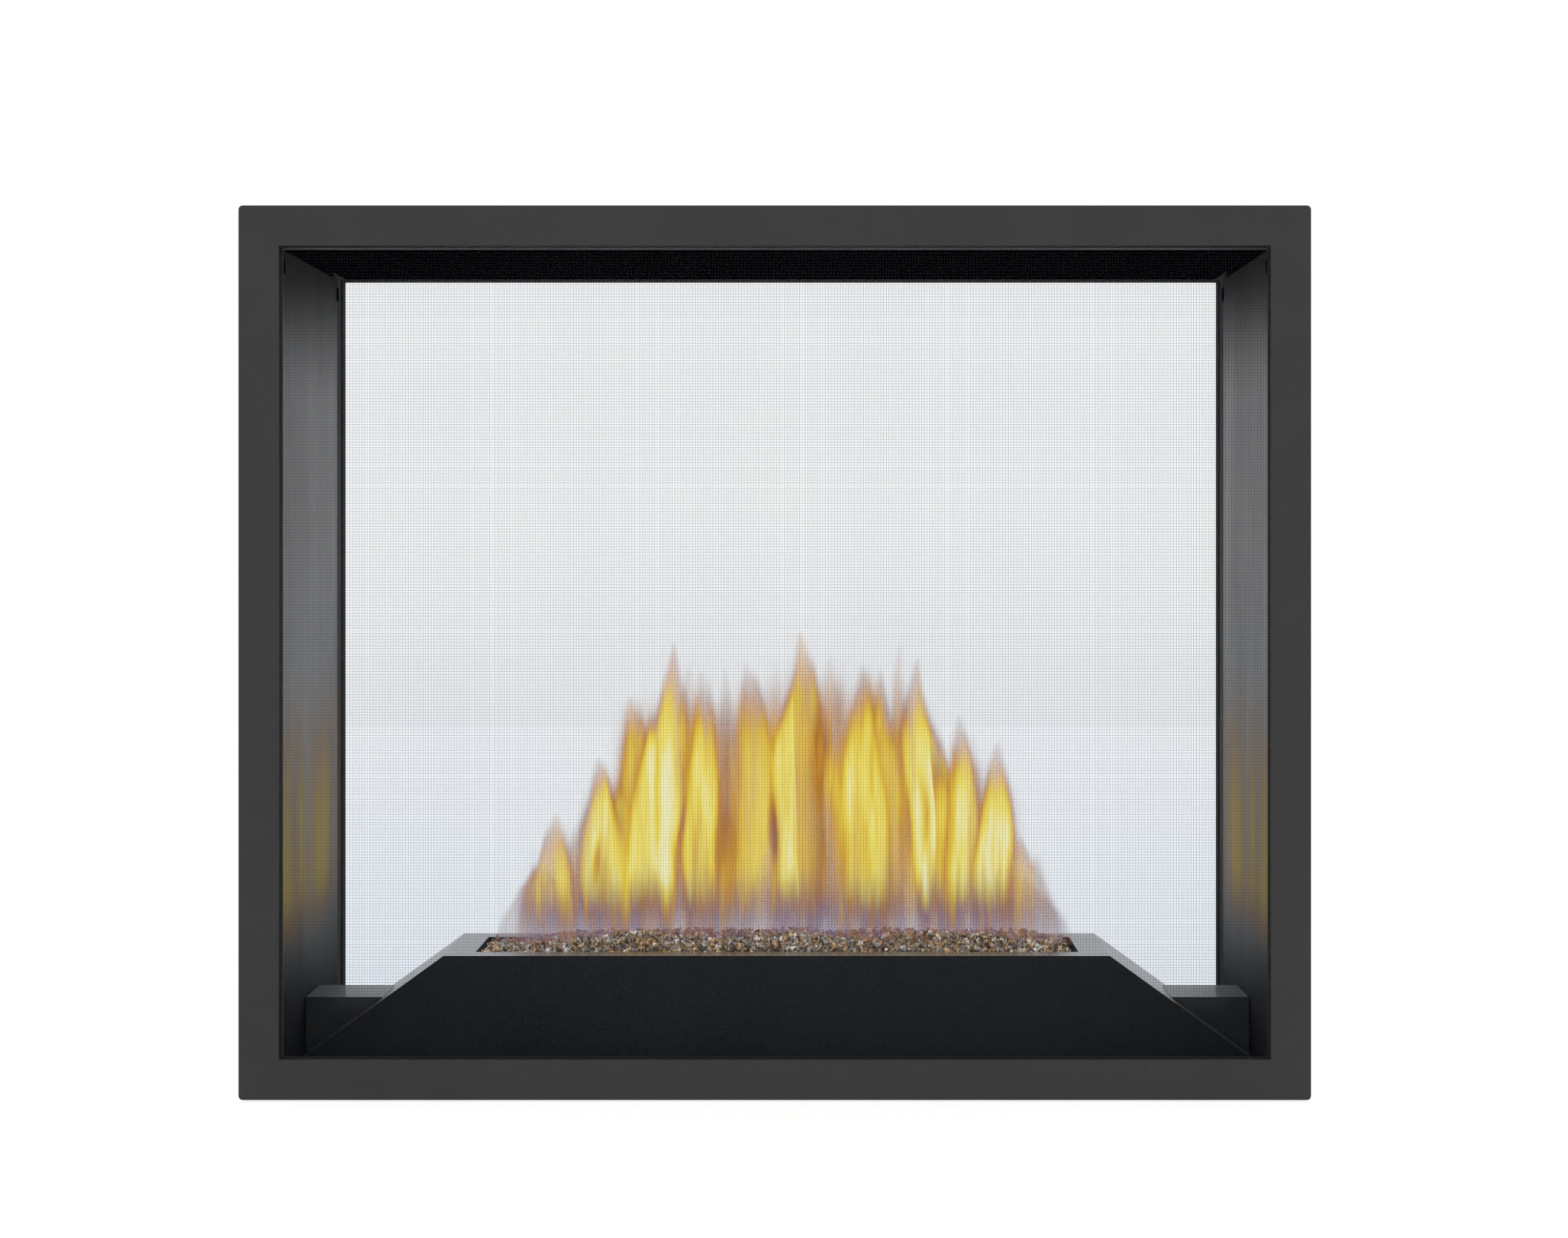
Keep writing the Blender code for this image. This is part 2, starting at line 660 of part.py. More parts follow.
def ceiling_screws():
    """Two rows of domed screws that hold the baffle, their heads down."""
    end = PANEL_IN - BAFFLE_END_SLOT - SCREW_END_INSET
    places = [0, SCREW_PITCH, 2 * SCREW_PITCH, end]
    places += [-place for place in places[1:]]
    screws = []
    shank = BAFFLE_SHEET / 2
    rim = -SCREW_HEAD_HEIGHT * SCREW_RIM_SHARE
    crown = SCREW_HEAD_RADIUS * SCREW_CROWN_SHARE
    dome = [(0, shank), (SCREW_HEAD_RADIUS, shank), (SCREW_HEAD_RADIUS, rim)]
    dome += [(crown, -SCREW_HEAD_HEIGHT), (0, -SCREW_HEAD_HEIGHT)]
    for out in (-SCREW_ROW_OUT, SCREW_ROW_OUT):
        for x in places:
            screws.append(moved(turned(dome, 8), x=x, y=out, z=OPENING_HIGH))
    return joined(screws)


def panel_clips():
    """Tabs of the right wall that fold round the corners of its reflective panel."""
    clips = []
    heights = (OPENING_HIGH - CLIP_FROM_TOP - CLIP_HEIGHT, FLOOR_TOP + CLIP_FROM_FLOOR)
    inner = PANEL_IN - FIT_GAP - CLIP_THICKNESS
    out = FIREBOX_OUT - FIT_GAP
    root = WALL_IN + WALL_SHEET / 2
    for side in (-1, 1):
        for z in heights:
            path = [(inner, side * (out - CLIP_WIDTH)), (inner, side * out), (root, side * out)]
            clips.append(prism(folded(path, -side * CLIP_THICKNESS), "Z", z, z + CLIP_HEIGHT))
    return joined(clips)


def build_door_seats(steel):
    """Flange round each end of the firebox that a glass door seals against, with rests for the door."""
    back = SEAT_OUT - SEAT_SHEET
    profile = [(0, SEAT_OUT, WALL_SHEET), (SEAT_BAR, SEAT_OUT, WALL_SHEET)]
    profile += [(SEAT_BAR, back, WALL_SHEET), (0, back, WALL_SHEET)]
    half = OPENING_HALF + SEAT_EDGE_OUT
    low = OPENING_LOW - SEAT_DROP
    high = OPENING_HIGH - SEAT_RISE
    for rear in (False, True):
        form = turned_round(frame_form(profile, half, low, high), rear)
        seat = add_object("rear_door_seat" if rear else "front_door_seat", form, steel)
        rests = []
        for side in (-1, 1):
            x = side * DOOR_REST_SPACING / 2
            rest_low = (x - DOOR_REST_WIDTH / 2, -DOOR_FRONT_OUT, low - SEAT_BAR)
            rest_high = (x + DOOR_REST_WIDTH / 2, -(SEAT_OUT + back) / 2, DOOR_HINGE_Z - FIT_GAP)
            rests.append(block(rest_low, rest_high))
        combine(seat, turned_round(joined(rests), rear), "UNION")


def build_collars(steel):
    """Round collars for the two pipes of a coaxial flue, each with a flange and a locking bead."""
    for name, radius, low, height in (
        ("exhaust_collar", EXHAUST_RADIUS, FIREBOX_TOP_HIGH + FIT_GAP, EXHAUST_HEIGHT),
        ("intake_collar", INTAKE_RADIUS, CASING_TOP + FIT_GAP, INTAKE_HEIGHT),
    ):
        inner = radius - COLLAR_SHEET
        bead = low + height - COLLAR_BEAD_DROP
        profile = [(inner, low), (radius + COLLAR_FLANGE, low), (radius + COLLAR_FLANGE, low + COLLAR_SHEET)]
        profile += [(radius, low + COLLAR_SHEET), (radius, bead - COLLAR_BEAD), (radius + COLLAR_BEAD, bead)]
        profile += [(radius, bead + COLLAR_BEAD), (radius, low + height), (inner, low + height)]
        add_object(name, turned(profile, 28, closed=True), steel, smooth=True)


def build_housing(black, gloss):
    """The sheet-metal hump that carries the burner, with a ledge from each slope to the side wall."""
    top_half = HOUSING_TOP_WIDTH / 2
    foot_half = top_half + (HOUSING_TOP - HOUSING_LOW) * SLOPE_RUN
    out = HOUSING_DEPTH / 2
    outline = [(-foot_half, HOUSING_LOW), (foot_half, HOUSING_LOW)]
    outline += [(top_half, HOUSING_TOP), (-top_half, HOUSING_TOP)]
    for rear in (False, True):
        form = prism(outline, "Y", -out, HOUSING_SHEET - out)
        name = "burner_housing_rear" if rear else "burner_housing_front"
        add_object(name, turned_round(form, rear), black)

    path = [(foot_half, HOUSING_LOW), (top_half, HOUSING_TOP)]
    path += [(-top_half, HOUSING_TOP), (-foot_half, HOUSING_LOW)]
    reach = out - HOUSING_SHEET - FIT_GAP
    top = add_object("burner_housing_top", prism(housing_skin(path), "Y", -reach, reach), gloss)
    half_x = TRAY_LENGTH / 2 + FIT_GAP
    half_y = TRAY_WIDTH / 2 + FIT_GAP
    low = HOUSING_TOP - HOUSING_SHEET - OVERRUN
    combine(top, block((-half_x, -half_y, low), (half_x, half_y, HOUSING_TOP + OVERRUN)))
    entry = laid_along(rod(ENTRY_HOLE_RADIUS, HOUSING_FOOT_WIDTH / 2), "X")
    combine(top, moved(entry, x=-HOUSING_FOOT_WIDTH / 2, z=GAS_Z))

    seam = LEDGE_OUT - LEDGE_END_LENGTH
    for left in (False, True):
        for name, start, end in (("_ledge", top_half, seam - FIT_GAP), ("_ledge_end", seam, LEDGE_OUT)):
            cover = mirrored(ledge_channel(start, end), left)
            cover = add_object(("left" if left else "right") + name, cover, gloss)
            combine(cover, mirrored(slope_cutter(), left))


def housing_skin(path):
    """Outline of the housing's top sheet, its two feet cut level with the floor."""
    outline = folded(path, HOUSING_SHEET)
    foot = HOUSING_SHEET * math.hypot(1, SLOPE_RUN)
    outline[4] = (outline[3][0] + foot, HOUSING_LOW)
    outline[7] = (outline[0][0] - foot, HOUSING_LOW)
    return outline


def ledge_channel(start, end):
    """A folded cover open below, from the middle of the housing out to the side wall."""
    half = LEDGE_DEPTH / 2
    path = [(half, HOUSING_LOW), (half, LEDGE_TOP), (-half, LEDGE_TOP), (-half, HOUSING_LOW)]
    return prism(folded(path, LEDGE_SHEET), "X", start, end)


def slope_cutter():
    """What lies under the housing's right slope, grown by the fitting gap."""
    gap = FIT_GAP * math.hypot(1, SLOPE_RUN)
    top = HOUSING_TOP + OVERRUN
    start = HOUSING_TOP_WIDTH / 2 - OVERRUN * SLOPE_RUN + gap
    low = HOUSING_LOW - OVERRUN
    end = start + (top - low) * SLOPE_RUN
    half = HOUSING_DEPTH / 2
    return prism([(start - half, low), (end, low), (start, top), (start - half, top)], "Y", -half, half)


def build_burner(black, steel, ember_glass):
    """Tray set into the housing, the burner pan in it, and the bed of glass embers on the pan."""
    half_x = TRAY_LENGTH / 2
    half_y = TRAY_WIDTH / 2
    form = block((-half_x, -half_y, TRAY_LOW), (half_x, half_y, HOUSING_TOP))
    top_face = max(form.faces, key=lambda face: face.calc_center_median().z)
    bmesh.ops.inset_individual(form, faces=[top_face], thickness=TRAY_SHEET)
    hollow = bmesh.ops.extrude_face_region(form, geom=[top_face])
    moved_points = [item for item in hollow["geom"] if isinstance(item, bmesh.types.BMVert)]
    bmesh.ops.translate(form, verts=moved_points, vec=(0, 0, TRAY_SHEET - TRAY_DEPTH))
    bmesh.ops.delete(form, geom=[top_face], context="FACES_ONLY")
    tray = add_object("burner_tray", form, black)
    holes = []
    for x, y, radius in (
        (MIXER_RISE_X, 0, MIXER_RADIUS + RUN_GAP),
        (PILOT_X, PILOT_Y, PILOT_TUBE_RADIUS + RUN_GAP),
    ):
        holes.append(moved(rod(radius, 2 * OVERRUN), x=x, y=y, z=TRAY_LOW - OVERRUN))
    combine(tray, joined(holes))

    form = block((PAN_LEFT, -PAN_HALF, PAN_LOW), (PAN_RIGHT, PAN_HALF, PAN_TOP), PAN_EDGE_BREAK)
    pan = add_object("burner_pan", form, steel)
    ports = []
    for index in range(PORT_COUNT):
        x = PAN_LEFT + (PAN_RIGHT - PAN_LEFT) * (index + 0.5) / PORT_COUNT
        ports.append(moved(rod(PORT_RADIUS, 2 * PORT_DEPTH, 8), x=x, z=PAN_TOP - PORT_DEPTH))
    combine(pan, joined(ports))
    add_object("glass_embers", ember_bed(), ember_glass)


def ember_bed():
    """A low heap of broken glass: a grid whose points stand at uneven heights, closed below."""
    noise.seed_set(EMBER_SEED)
    low = PAN_TOP + FIT_GAP
    left = PAN_LEFT - EMBER_SIDE_GAP
    right = TRAY_LENGTH / 2 - TRAY_SHEET - EMBER_SIDE_GAP
    half = TRAY_WIDTH / 2 - TRAY_SHEET - EMBER_SIDE_GAP
    columns = max(2, round((right - left) / EMBER_PIECE))
    rows = max(2, round(2 * half / EMBER_PIECE))
    form = bmesh.new()
    bmesh.ops.create_grid(form, x_segments=columns, y_segments=rows, size=1)
    for point in form.verts:
        across, along = point.co.x, point.co.y
        point.co.x = left + (right - left) * (across + 1) / 2
        point.co.y = half * along
        crown = (1 - across ** EMBER_CROWN_POWERS[0]) * (1 - along ** EMBER_CROWN_POWERS[1])
        grain = noise.noise(Vector((across * columns, along * rows, 0)) * EMBER_GRAIN_STEP)
        inside = 1 if max(abs(across), abs(along)) < EMBER_RIM_SHARE else 0
        height = crown * (EMBER_CROWN_SHARE + EMBER_GRAIN_SHARE * grain * inside)
        point.co.z = low + EMBER_BED + EMBER_PEAK * height
        jitter = noise.noise_vector(Vector((along * rows, across * columns, EMBER_GRAIN_STEP)))
        point.co.x += jitter.x * EMBER_PIECE * EMBER_JITTER_SHARE * inside
        point.co.y += jitter.y * EMBER_PIECE * EMBER_JITTER_SHARE * inside
    border = [edge for edge in form.edges if edge.is_boundary]
    skirt = bmesh.ops.extrude_edge_only(form, edges=border)
    for item in skirt["geom"]:
        if isinstance(item, bmesh.types.BMVert):
            item.co.z = low
    rim = [item for item in skirt["geom"] if isinstance(item, bmesh.types.BMEdge) and item.is_boundary]
    bmesh.ops.holes_fill(form, edges=rim)
    bmesh.ops.triangulate(form, faces=form.faces)
    return form


def build_gas_train(brass, cast, steel, black):
    """Gas line from the left wall to the burner: cock, valve, orifice and mixing tube with its shutter."""
    mixer_points = elbow(
        (MIXER_MOUTH_X, 0, GAS_Z), (MIXER_RISE_X, 0, GAS_Z), (MIXER_RISE_X, 0, PAN_LOW - FIT_GAP), MIXER_BEND
    )
    mixer_form = solid_of(pipe("mixer_route", mixer_points, MIXER_RADIUS, steel))
    mixer = add_object("mixing_tube", mixer_form, steel, smooth=True)
    bore_length = SHUTTER_LENGTH + OVERRUN
    bore = laid_along(rod(MIXER_RADIUS - MIXER_WALL, bore_length), "X")
    combine(mixer, moved(bore, x=MIXER_MOUTH_X - OVERRUN, z=GAS_Z))
    combine(mixer, shutter_windows())

    pivot = add_pivot("air_shutter_axis", (MIXER_MOUTH_X, 0, GAS_Z))
    inner = MIXER_RADIUS + RUN_GAP
    form = laid_along(sleeve(inner + SHUTTER_WALL, SHUTTER_WALL, SHUTTER_LENGTH), "X")
    form = moved(form, x=MIXER_MOUTH_X - SHUTTER_OVERHANG, z=GAS_Z)
    shutter = add_object("air_shutter", form, black, pivot, smooth=True)
    tab_low = (MIXER_MOUTH_X + SHUTTER_OVERHANG, -SHUTTER_TAB_WIDTH / 2, GAS_Z - inner - SHUTTER_TAB)
    tab_high = (tab_low[0] + SHUTTER_WALL, SHUTTER_TAB_WIDTH / 2, GAS_Z - inner - SHUTTER_WALL / 2)
    combine(shutter, block(tab_low, tab_high), "UNION")
    combine(shutter, shutter_windows())

    hexagon = ORIFICE_LENGTH * ORIFICE_HEXAGON_SHARE
    profile = [(ORIFICE_BORE, ORIFICE_LENGTH), (ORIFICE_RADIUS * ORIFICE_TIP_SHARE, ORIFICE_LENGTH)]
    profile += [(ORIFICE_RADIUS * ORIFICE_SHOULDER_SHARE, hexagon), (ORIFICE_RADIUS, hexagon)]
    profile += [(ORIFICE_RADIUS, 0), (ORIFICE_BORE, 0)]
    orifice = turned(profile, 6, closed=True)
    add_object("gas_orifice", moved(laid_along(orifice, "X"), x=ORIFICE_LEFT, z=GAS_Z), brass)
    for name, left, right in (
        ("manifold_pipe", MANIFOLD_LEFT, MANIFOLD_LEFT + MANIFOLD_LENGTH),
        ("gas_inlet_pipe", -CASING_HALF, COCK_LEFT - FIT_GAP),
    ):
        form = laid_along(sleeve(PIPE_RADIUS, MIXER_WALL, right - left, 12), "X")
        add_object(name, moved(form, x=left, z=GAS_Z), black, smooth=True)
    build_valve(cast, black)
    build_cock(brass, black)


def shutter_windows():
    """Air holes through the tube and its shutter, open across the front and the rear."""
    reach = MIXER_RADIUS + SHUTTER_WALL + OVERRUN
    hole = laid_along(rod(WINDOW_RADIUS, 2 * reach, 12), "Y")
    x = MIXER_MOUTH_X - SHUTTER_OVERHANG + SHUTTER_LENGTH / 2 + SHUTTER_OVERHANG
    return moved(hole, x=x, y=reach, z=GAS_Z)


def build_valve(cast, black):
    """Gas control valve: a cast body on a foot, with two solenoid caps and a regulator knob."""
    half = VALVE_WIDTH / 2
    low = GAS_Z - VALVE_HEIGHT / 2
    form = block((VALVE_LEFT, -half, low), (VALVE_RIGHT, half, VALVE_TOP), VALVE_EDGE_BREAK)
    valve = add_object("gas_valve", form, cast)
    foot_top = low + VALVE_EDGE_BREAK
    foot_left = VALVE_LEFT + VALVE_LENGTH * VALVE_FOOT_SHARE
    foot_right = VALVE_RIGHT - VALVE_LENGTH * VALVE_FOOT_SHARE
    foot = block((foot_left, -half / 2, BASE_TOP + FIT_GAP), (foot_right, half / 2, foot_top))
    combine(valve, foot, "UNION")
    caps = []
    for share in SOLENOID_PLACE_SHARES:
        x = VALVE_LEFT + VALVE_LENGTH * share
        cap = rod(SOLENOID_RADIUS, SOLENOID_HEIGHT + VALVE_FOOT)
        caps.append(moved(cap, x=x, y=half * VALVE_OFFSET_SHARE, z=VALVE_TOP - VALVE_FOOT))
    combine(valve, joined(caps), "UNION")

    y = -half * VALVE_OFFSET_SHARE
    pivot = add_pivot("regulator_axis", (KNOB_X, y, VALVE_TOP))
    profile = [(0, KNOB_HEIGHT), (KNOB_RADIUS - KNOB_GRIP, KNOB_HEIGHT)]
    profile += [(KNOB_RADIUS, KNOB_HEIGHT - KNOB_GRIP), (KNOB_RADIUS, 0), (0, 0)]
    knob = turned(profile, 14)
    flanks = [face for face in knob.faces if abs(face.normal.z) < FLANK_SLOPE]
    bmesh.ops.inset_individual(knob, faces=flanks[::2], thickness=KNOB_GRIP / 2, depth=-KNOB_GRIP / 2)
    form = moved(knob, x=KNOB_X, y=y, z=VALVE_TOP + FIT_GAP)
    add_object("regulator_knob", form, black, pivot)


def build_cock(brass, black):
    """Shut-off cock in the gas line, with a flat lever that turns a quarter turn about Z."""
    stem_top = GAS_Z + COCK_RADIUS + COCK_STEM_HEIGHT
    neck_radius = PIPE_RADIUS + MIXER_WALL
    neck = COCK_LENGTH * COCK_NECK_SHARE
    shoulder = COCK_LENGTH * COCK_SHOULDER_SHARE
    profile = [(0, COCK_LENGTH), (neck_radius, COCK_LENGTH), (neck_radius, COCK_LENGTH - neck)]
    profile += [(COCK_RADIUS, COCK_LENGTH - shoulder), (COCK_RADIUS, shoulder)]
    profile += [(neck_radius, neck), (neck_radius, 0), (0, 0)]
    form = moved(laid_along(turned(profile, 12), "X"), x=COCK_LEFT, z=GAS_Z)
    cock = add_object("shutoff_cock", form, brass)
    stem = moved(rod(COCK_STEM_RADIUS, stem_top - GAS_Z), x=COCK_X, z=GAS_Z)
    combine(cock, stem, "UNION")

    pivot = add_pivot("shutoff_axis", (COCK_X, 0, stem_top))
    half = LEVER_WIDTH / 2
    step_x = COCK_X - LEVER_LENGTH * LEVER_NECK_SHARE
    low = stem_top + FIT_GAP
    path = [(COCK_X - LEVER_LENGTH, low + LEVER_SHEET), (step_x - LEVER_SHEET, low + LEVER_SHEET)]
    path += [(step_x, low), (COCK_X + half, low)]
    form = prism(folded(path, LEVER_SHEET), "Y", -half, half)
    corners = [edge for edge in form.edges if is_lever_corner(edge)]
    radius = half * LEVER_CORNER_SHARE
    bmesh.ops.bevel(form, geom=corners, offset=radius, segments=2, affect="EDGES", profile=0.5)
    add_object("shutoff_lever", form, brass, pivot)


def is_lever_corner(edge):
    """Whether an edge is one of the four upright corners at the ends of the lever."""
    ends = [point.co for point in edge.verts]
    upright = abs(ends[0].y - ends[1].y) < WELD and abs(ends[0].x - ends[1].x) < WELD
    outer = min(abs(ends[0].x - COCK_X + LEVER_LENGTH), abs(ends[0].x - COCK_X - LEVER_WIDTH / 2))
    return upright and outer < WELD


def build_pilot(steel, ceramic, tube):
    """Pilot burner at the left end of the tray, with its gas tube and its two electrodes."""
    half_x = PILOT_PLATE_WIDTH / 2
    low = (PILOT_X - half_x, PILOT_Y - PILOT_PLATE_DEPTH / 2, PILOT_PLATE_LOW)
    high = (PILOT_X + half_x, PILOT_Y + PILOT_PLATE_DEPTH / 2 - PAN_SIDE_GAP, PILOT_PLATE_TOP)
    pilot = add_object("pilot_burner", block(low, high), steel)
    hood = sleeve(PILOT_HOOD_RADIUS, PILOT_HOOD_WALL, PILOT_HOOD_HEIGHT, 12)
    combine(pilot, moved(hood, x=PILOT_X, y=PILOT_Y, z=PILOT_PLATE_TOP - PILOT_PLATE / 2), "UNION")
    flame_hole = laid_along(rod(PILOT_HOOD_RADIUS / 2, 2 * PILOT_HOOD_RADIUS, 8), "X")
    flame_z = PILOT_PLATE_TOP + PILOT_HOOD_HEIGHT * PILOT_FLAME_HOLE_SHARE
    combine(pilot, moved(flame_hole, x=PILOT_X, y=PILOT_Y, z=flame_z))

    for name, side in (("spark_electrode", -1), ("flame_sensor", 1)):
        sleeve_height = ELECTRODE_HEIGHT / 2
        profile = [(0, ELECTRODE_HEIGHT), (ELECTRODE_RADIUS, ELECTRODE_HEIGHT)]
        profile += [(ELECTRODE_RADIUS, sleeve_height), (ELECTRODE_SLEEVE_RADIUS, sleeve_height)]
        profile += [(ELECTRODE_SLEEVE_RADIUS, 0), (0, 0)]
        y = PILOT_Y + side * ELECTRODE_SPACING / 2
        form = moved(turned(profile, 8), x=PILOT_X, y=y, z=PILOT_PLATE_TOP + FIT_GAP)
        add_object(name, form, ceramic, smooth=True)

    start = (PILOT_X, VALVE_WIDTH / 2 + FIT_GAP, GAS_Z)
    end = (PILOT_X, PILOT_Y, PILOT_PLATE_LOW - FIT_GAP)
    route = elbow(start, (PILOT_X, PILOT_Y, GAS_Z), end, PILOT_TUBE_RUN / 2)
    pipe("pilot_tube", route, PILOT_TUBE_RADIUS, tube)


def build_controls(plastic, steel):
    """Ignition module and junction box, standing on the base pan to the right of the burner feed."""
    half = (MODULE_SIZE[0] / 2, MODULE_SIZE[1] / 2)
    low = BASE_TOP + FIT_GAP
    form = block(
        (MODULE_CENTRE_X - half[0], -half[1], low),
        (MODULE_CENTRE_X + half[0], half[1], low + MODULE_SIZE[2]),
        MODULE_EDGE_BREAK,
    )
    add_object("ignition_module", form, plastic)
    half = (BOX_SIZE[0] / 2, BOX_SIZE[1] / 2)
    form = block(
        (BOX_CENTRE_X - half[0], -half[1], low), (BOX_CENTRE_X + half[0], half[1], low + BOX_SIZE[2])
    )
    box = add_object("junction_box", form, steel)
    knockout = laid_along(rod(BOX_KNOCKOUT_RADIUS, BOX_KNOCKOUT_DEPTH + OVERRUN), "X")
    x = BOX_CENTRE_X + half[0] - BOX_KNOCKOUT_DEPTH
    combine(box, moved(knockout, x=x, z=low + BOX_SIZE[2] / 2))


def build_face(rear, coat, wire):
    """Face of one room: the folded surround, the screen in it, and the studs that push into the casing."""
    side = "rear" if rear else "front"
    sign = 1 if rear else -1
    pivot = add_pivot(side + "_face_slide", (0, sign * FACE_OUT, OPENING_LOW))
    inner = FACE_INNER_RADIUS
    outer = FACE_CORNER_RADIUS
    behind = FACE_OUT - FACE_SHEET
    edge = FACE_BAR - FACE_SHEET
    profile = [
        (0, FACE_OUT - FACE_EDGE_BREAK, inner),
        (FACE_EDGE_BREAK, FACE_OUT, inner),
        (FACE_BAR - FACE_EDGE_BREAK, FACE_OUT, outer),
        (FACE_BAR, FACE_OUT - FACE_EDGE_BREAK, outer),
        (FACE_BAR, FACE_OUT - FACE_SIDE_DEPTH, outer),
        (edge, FACE_OUT - FACE_SIDE_DEPTH, outer - FACE_SHEET),
        (edge, behind, outer - FACE_SHEET),
        (FACE_SHEET, behind, inner),
        (FACE_SHEET, RETURN_OUT, inner),
        (0, RETURN_OUT, inner),
    ]
    form = frame_form(profile, OPENING_HALF, OPENING_LOW, OPENING_HIGH, steps=3)
    surround = add_object(side + "_surround", turned_round(form, rear), coat, pivot)
    add_object(side + "_screen", turned_round(screen_form(), rear), wire, pivot)

    studs = []
    root = behind + FACE_SHEET / 2
    length = root - (CASING_OUT - BASE_SHEET - FIT_GAP) - FIT_GAP
    profile = [(0, length + STUD_TIP_LENGTH), (STUD_TIP_RADIUS, length + STUD_TIP_LENGTH)]
    profile += [(STUD_TIP_RADIUS, length), (STUD_SHOULDER_RADIUS, length), (STUD_SHOULDER_RADIUS, 0), (0, 0)]
    for x in (-STUD_X, STUD_X):
        for z in stud_heights():
            stud = laid_along(turned(profile, 8), "Y")
            stud.transform(Matrix.Rotation(math.pi, 4, "Z"))
            studs.append(moved(stud, x=x, y=-root, z=z))
    combine(surround, turned_round(joined(studs), rear), "UNION")


def screen_form():
    """A flat net of strands that fills the opening just behind the front of the face."""
    form = bmesh.new()
    bmesh.ops.create_grid(form, x_segments=SCREEN_COLUMNS, y_segments=SCREEN_ROWS, size=1)
    half = OPENING_HALF - FIT_GAP
    low = OPENING_LOW + FIT_GAP
    high = OPENING_HIGH - FIT_GAP
    back = FACE_OUT - SCREEN_RECESS - SCREEN_THICKNESS
    for point in form.verts:
        point.co = (point.co.x * half, -back, low + (high - low) * (point.co.y + 1) / 2)
    form.normal_update()
    cells = list(form.faces)
    bmesh.ops.inset_individual(form, faces=cells, thickness=SCREEN_STRAND / 2)
    bmesh.ops.delete(form, geom=cells, context="FACES_ONLY")
    net = list(form.faces)
    front = bmesh.ops.duplicate(form, geom=net)
    points = [item for item in front["geom"] if isinstance(item, bmesh.types.BMVert)]
    bmesh.ops.translate(form, verts=points, vec=(0, -SCREEN_THICKNESS, 0))
    twin = front["vert_map"]
    for border in [edge for edge in form.edges if edge.is_boundary and edge.verts[0] in net_points(net)]:
        first, second = border.verts
        form.faces.new((first, second, twin[second], twin[first]))
    bmesh.ops.recalc_face_normals(form, faces=form.faces)
    return form


def net_points(faces):
    return {point for face in faces for point in face.verts}


def build_door(rear, black, clear, rope, steel):
    """Glass door of one room: a folded frame round a glass pane, its rope gasket and its two latches."""
    side = "rear" if rear else "front"
    sign = 1 if rear else -1
    pivot = add_pivot(side + "_door_hinge", (0, sign * DOOR_BACK_OUT, DOOR_HINGE_Z))
    front = DOOR_FRONT_OUT
    outer = DOOR_BAR - DOOR_SHEET
    radius = DOOR_SHEET
    profile = [(0, front, radius), (DOOR_BAR, front, radius), (DOOR_BAR, DOOR_BACK_OUT, radius)]
    profile += [(outer, DOOR_BACK_OUT, FIT_GAP), (outer, front - DOOR_SHEET, FIT_GAP)]
    profile.append((0, front - DOOR_SHEET, radius))
    form = frame_form(profile, DOOR_HALF, DOOR_LOW, DOOR_HIGH)
    glass_frame = add_object(side + "_glass_frame", turned_round(form, rear), black, pivot)

    edge = outer - FIT_GAP
    low = (-DOOR_HALF - edge, -GLASS_FRONT_OUT, DOOR_LOW - edge)
    high = (DOOR_HALF + edge, -GLASS_BACK_OUT, DOOR_HIGH + edge)
    add_object(side + "_glass", turned_round(block(low, high), rear), clear, pivot)

    gasket_front = GLASS_BACK_OUT - FIT_GAP
    gasket_back = SEAT_OUT + FIT_GAP
    crown = (gasket_front + gasket_back) / 2
    away = GASKET_INSET + GASKET_WIDTH / 2
    flat = GASKET_WIDTH / 4
    profile = [(away - flat, gasket_front, radius), (away + flat, gasket_front, radius)]
    profile += [(away + 2 * flat, crown, radius), (away + flat, gasket_back, radius)]
    profile += [(away - flat, gasket_back, radius), (away - 2 * flat, crown, radius)]
    form = frame_form(profile, DOOR_HALF, DOOR_LOW, DOOR_HIGH)
    add_object(side + "_gasket", turned_round(form, rear), rope, pivot)

    brackets = []
    for x in (-LATCH_SPACING / 2, LATCH_SPACING / 2):
        brackets.append(moved(latch_bracket(), x=x))
    combine(glass_frame, turned_round(joined(brackets), rear), "UNION")
    for left in (True, False):
        x = -LATCH_SPACING / 2 if left != rear else LATCH_SPACING / 2
        name = side + ("_left_latch" if left else "_right_latch")
        build_latch(name, x, rear, pivot, steel)


def latch_axis():
    """Distance out and height of the latches' hinge line."""
    return DOOR_FRONT_OUT + LATCH_PIVOT_OUT, DOOR_HIGH + LATCH_PIVOT_RISE


def latch_bracket():
    """Two ears on a plate, with the hinge pin between them, as one welded piece."""
    out, z = latch_axis()
    half = LATCH_WIDTH / 2 + RUN_GAP
    back = DOOR_FRONT_OUT - DOOR_SHEET / 2
    far = half + BRACKET_EAR
    low = z - BRACKET_HEIGHT / 2 + RUN_GAP
    high = z + BRACKET_HEIGHT / 2 + RUN_GAP
    tip = out + LATCH_PIN_RADIUS + RUN_GAP
    path = [(-far, -tip), (-far, -back), (far, -back), (far, -tip)]
    outline = folded(path, -BRACKET_PLATE)
    form = prism(outline, "Z", low, high)
    pin = laid_along(rod(LATCH_PIN_RADIUS, 2 * half + BRACKET_PLATE, 8), "X")
    pin = moved(pin, x=-half - BRACKET_PLATE / 2, y=-out, z=z)
    return welded(form, pin)


def welded(form, other, operation="UNION"):
    """Two closed forms welded into one, or one cut by the other, made with a Boolean and read back."""
    base = add_object("weld_base", form, None)
    combine(base, other, operation)
    tool = bpy.data.objects["weld_base_tool"]
    result = solid_of(base)
    bpy.data.objects.remove(tool, do_unlink=True)
    return result


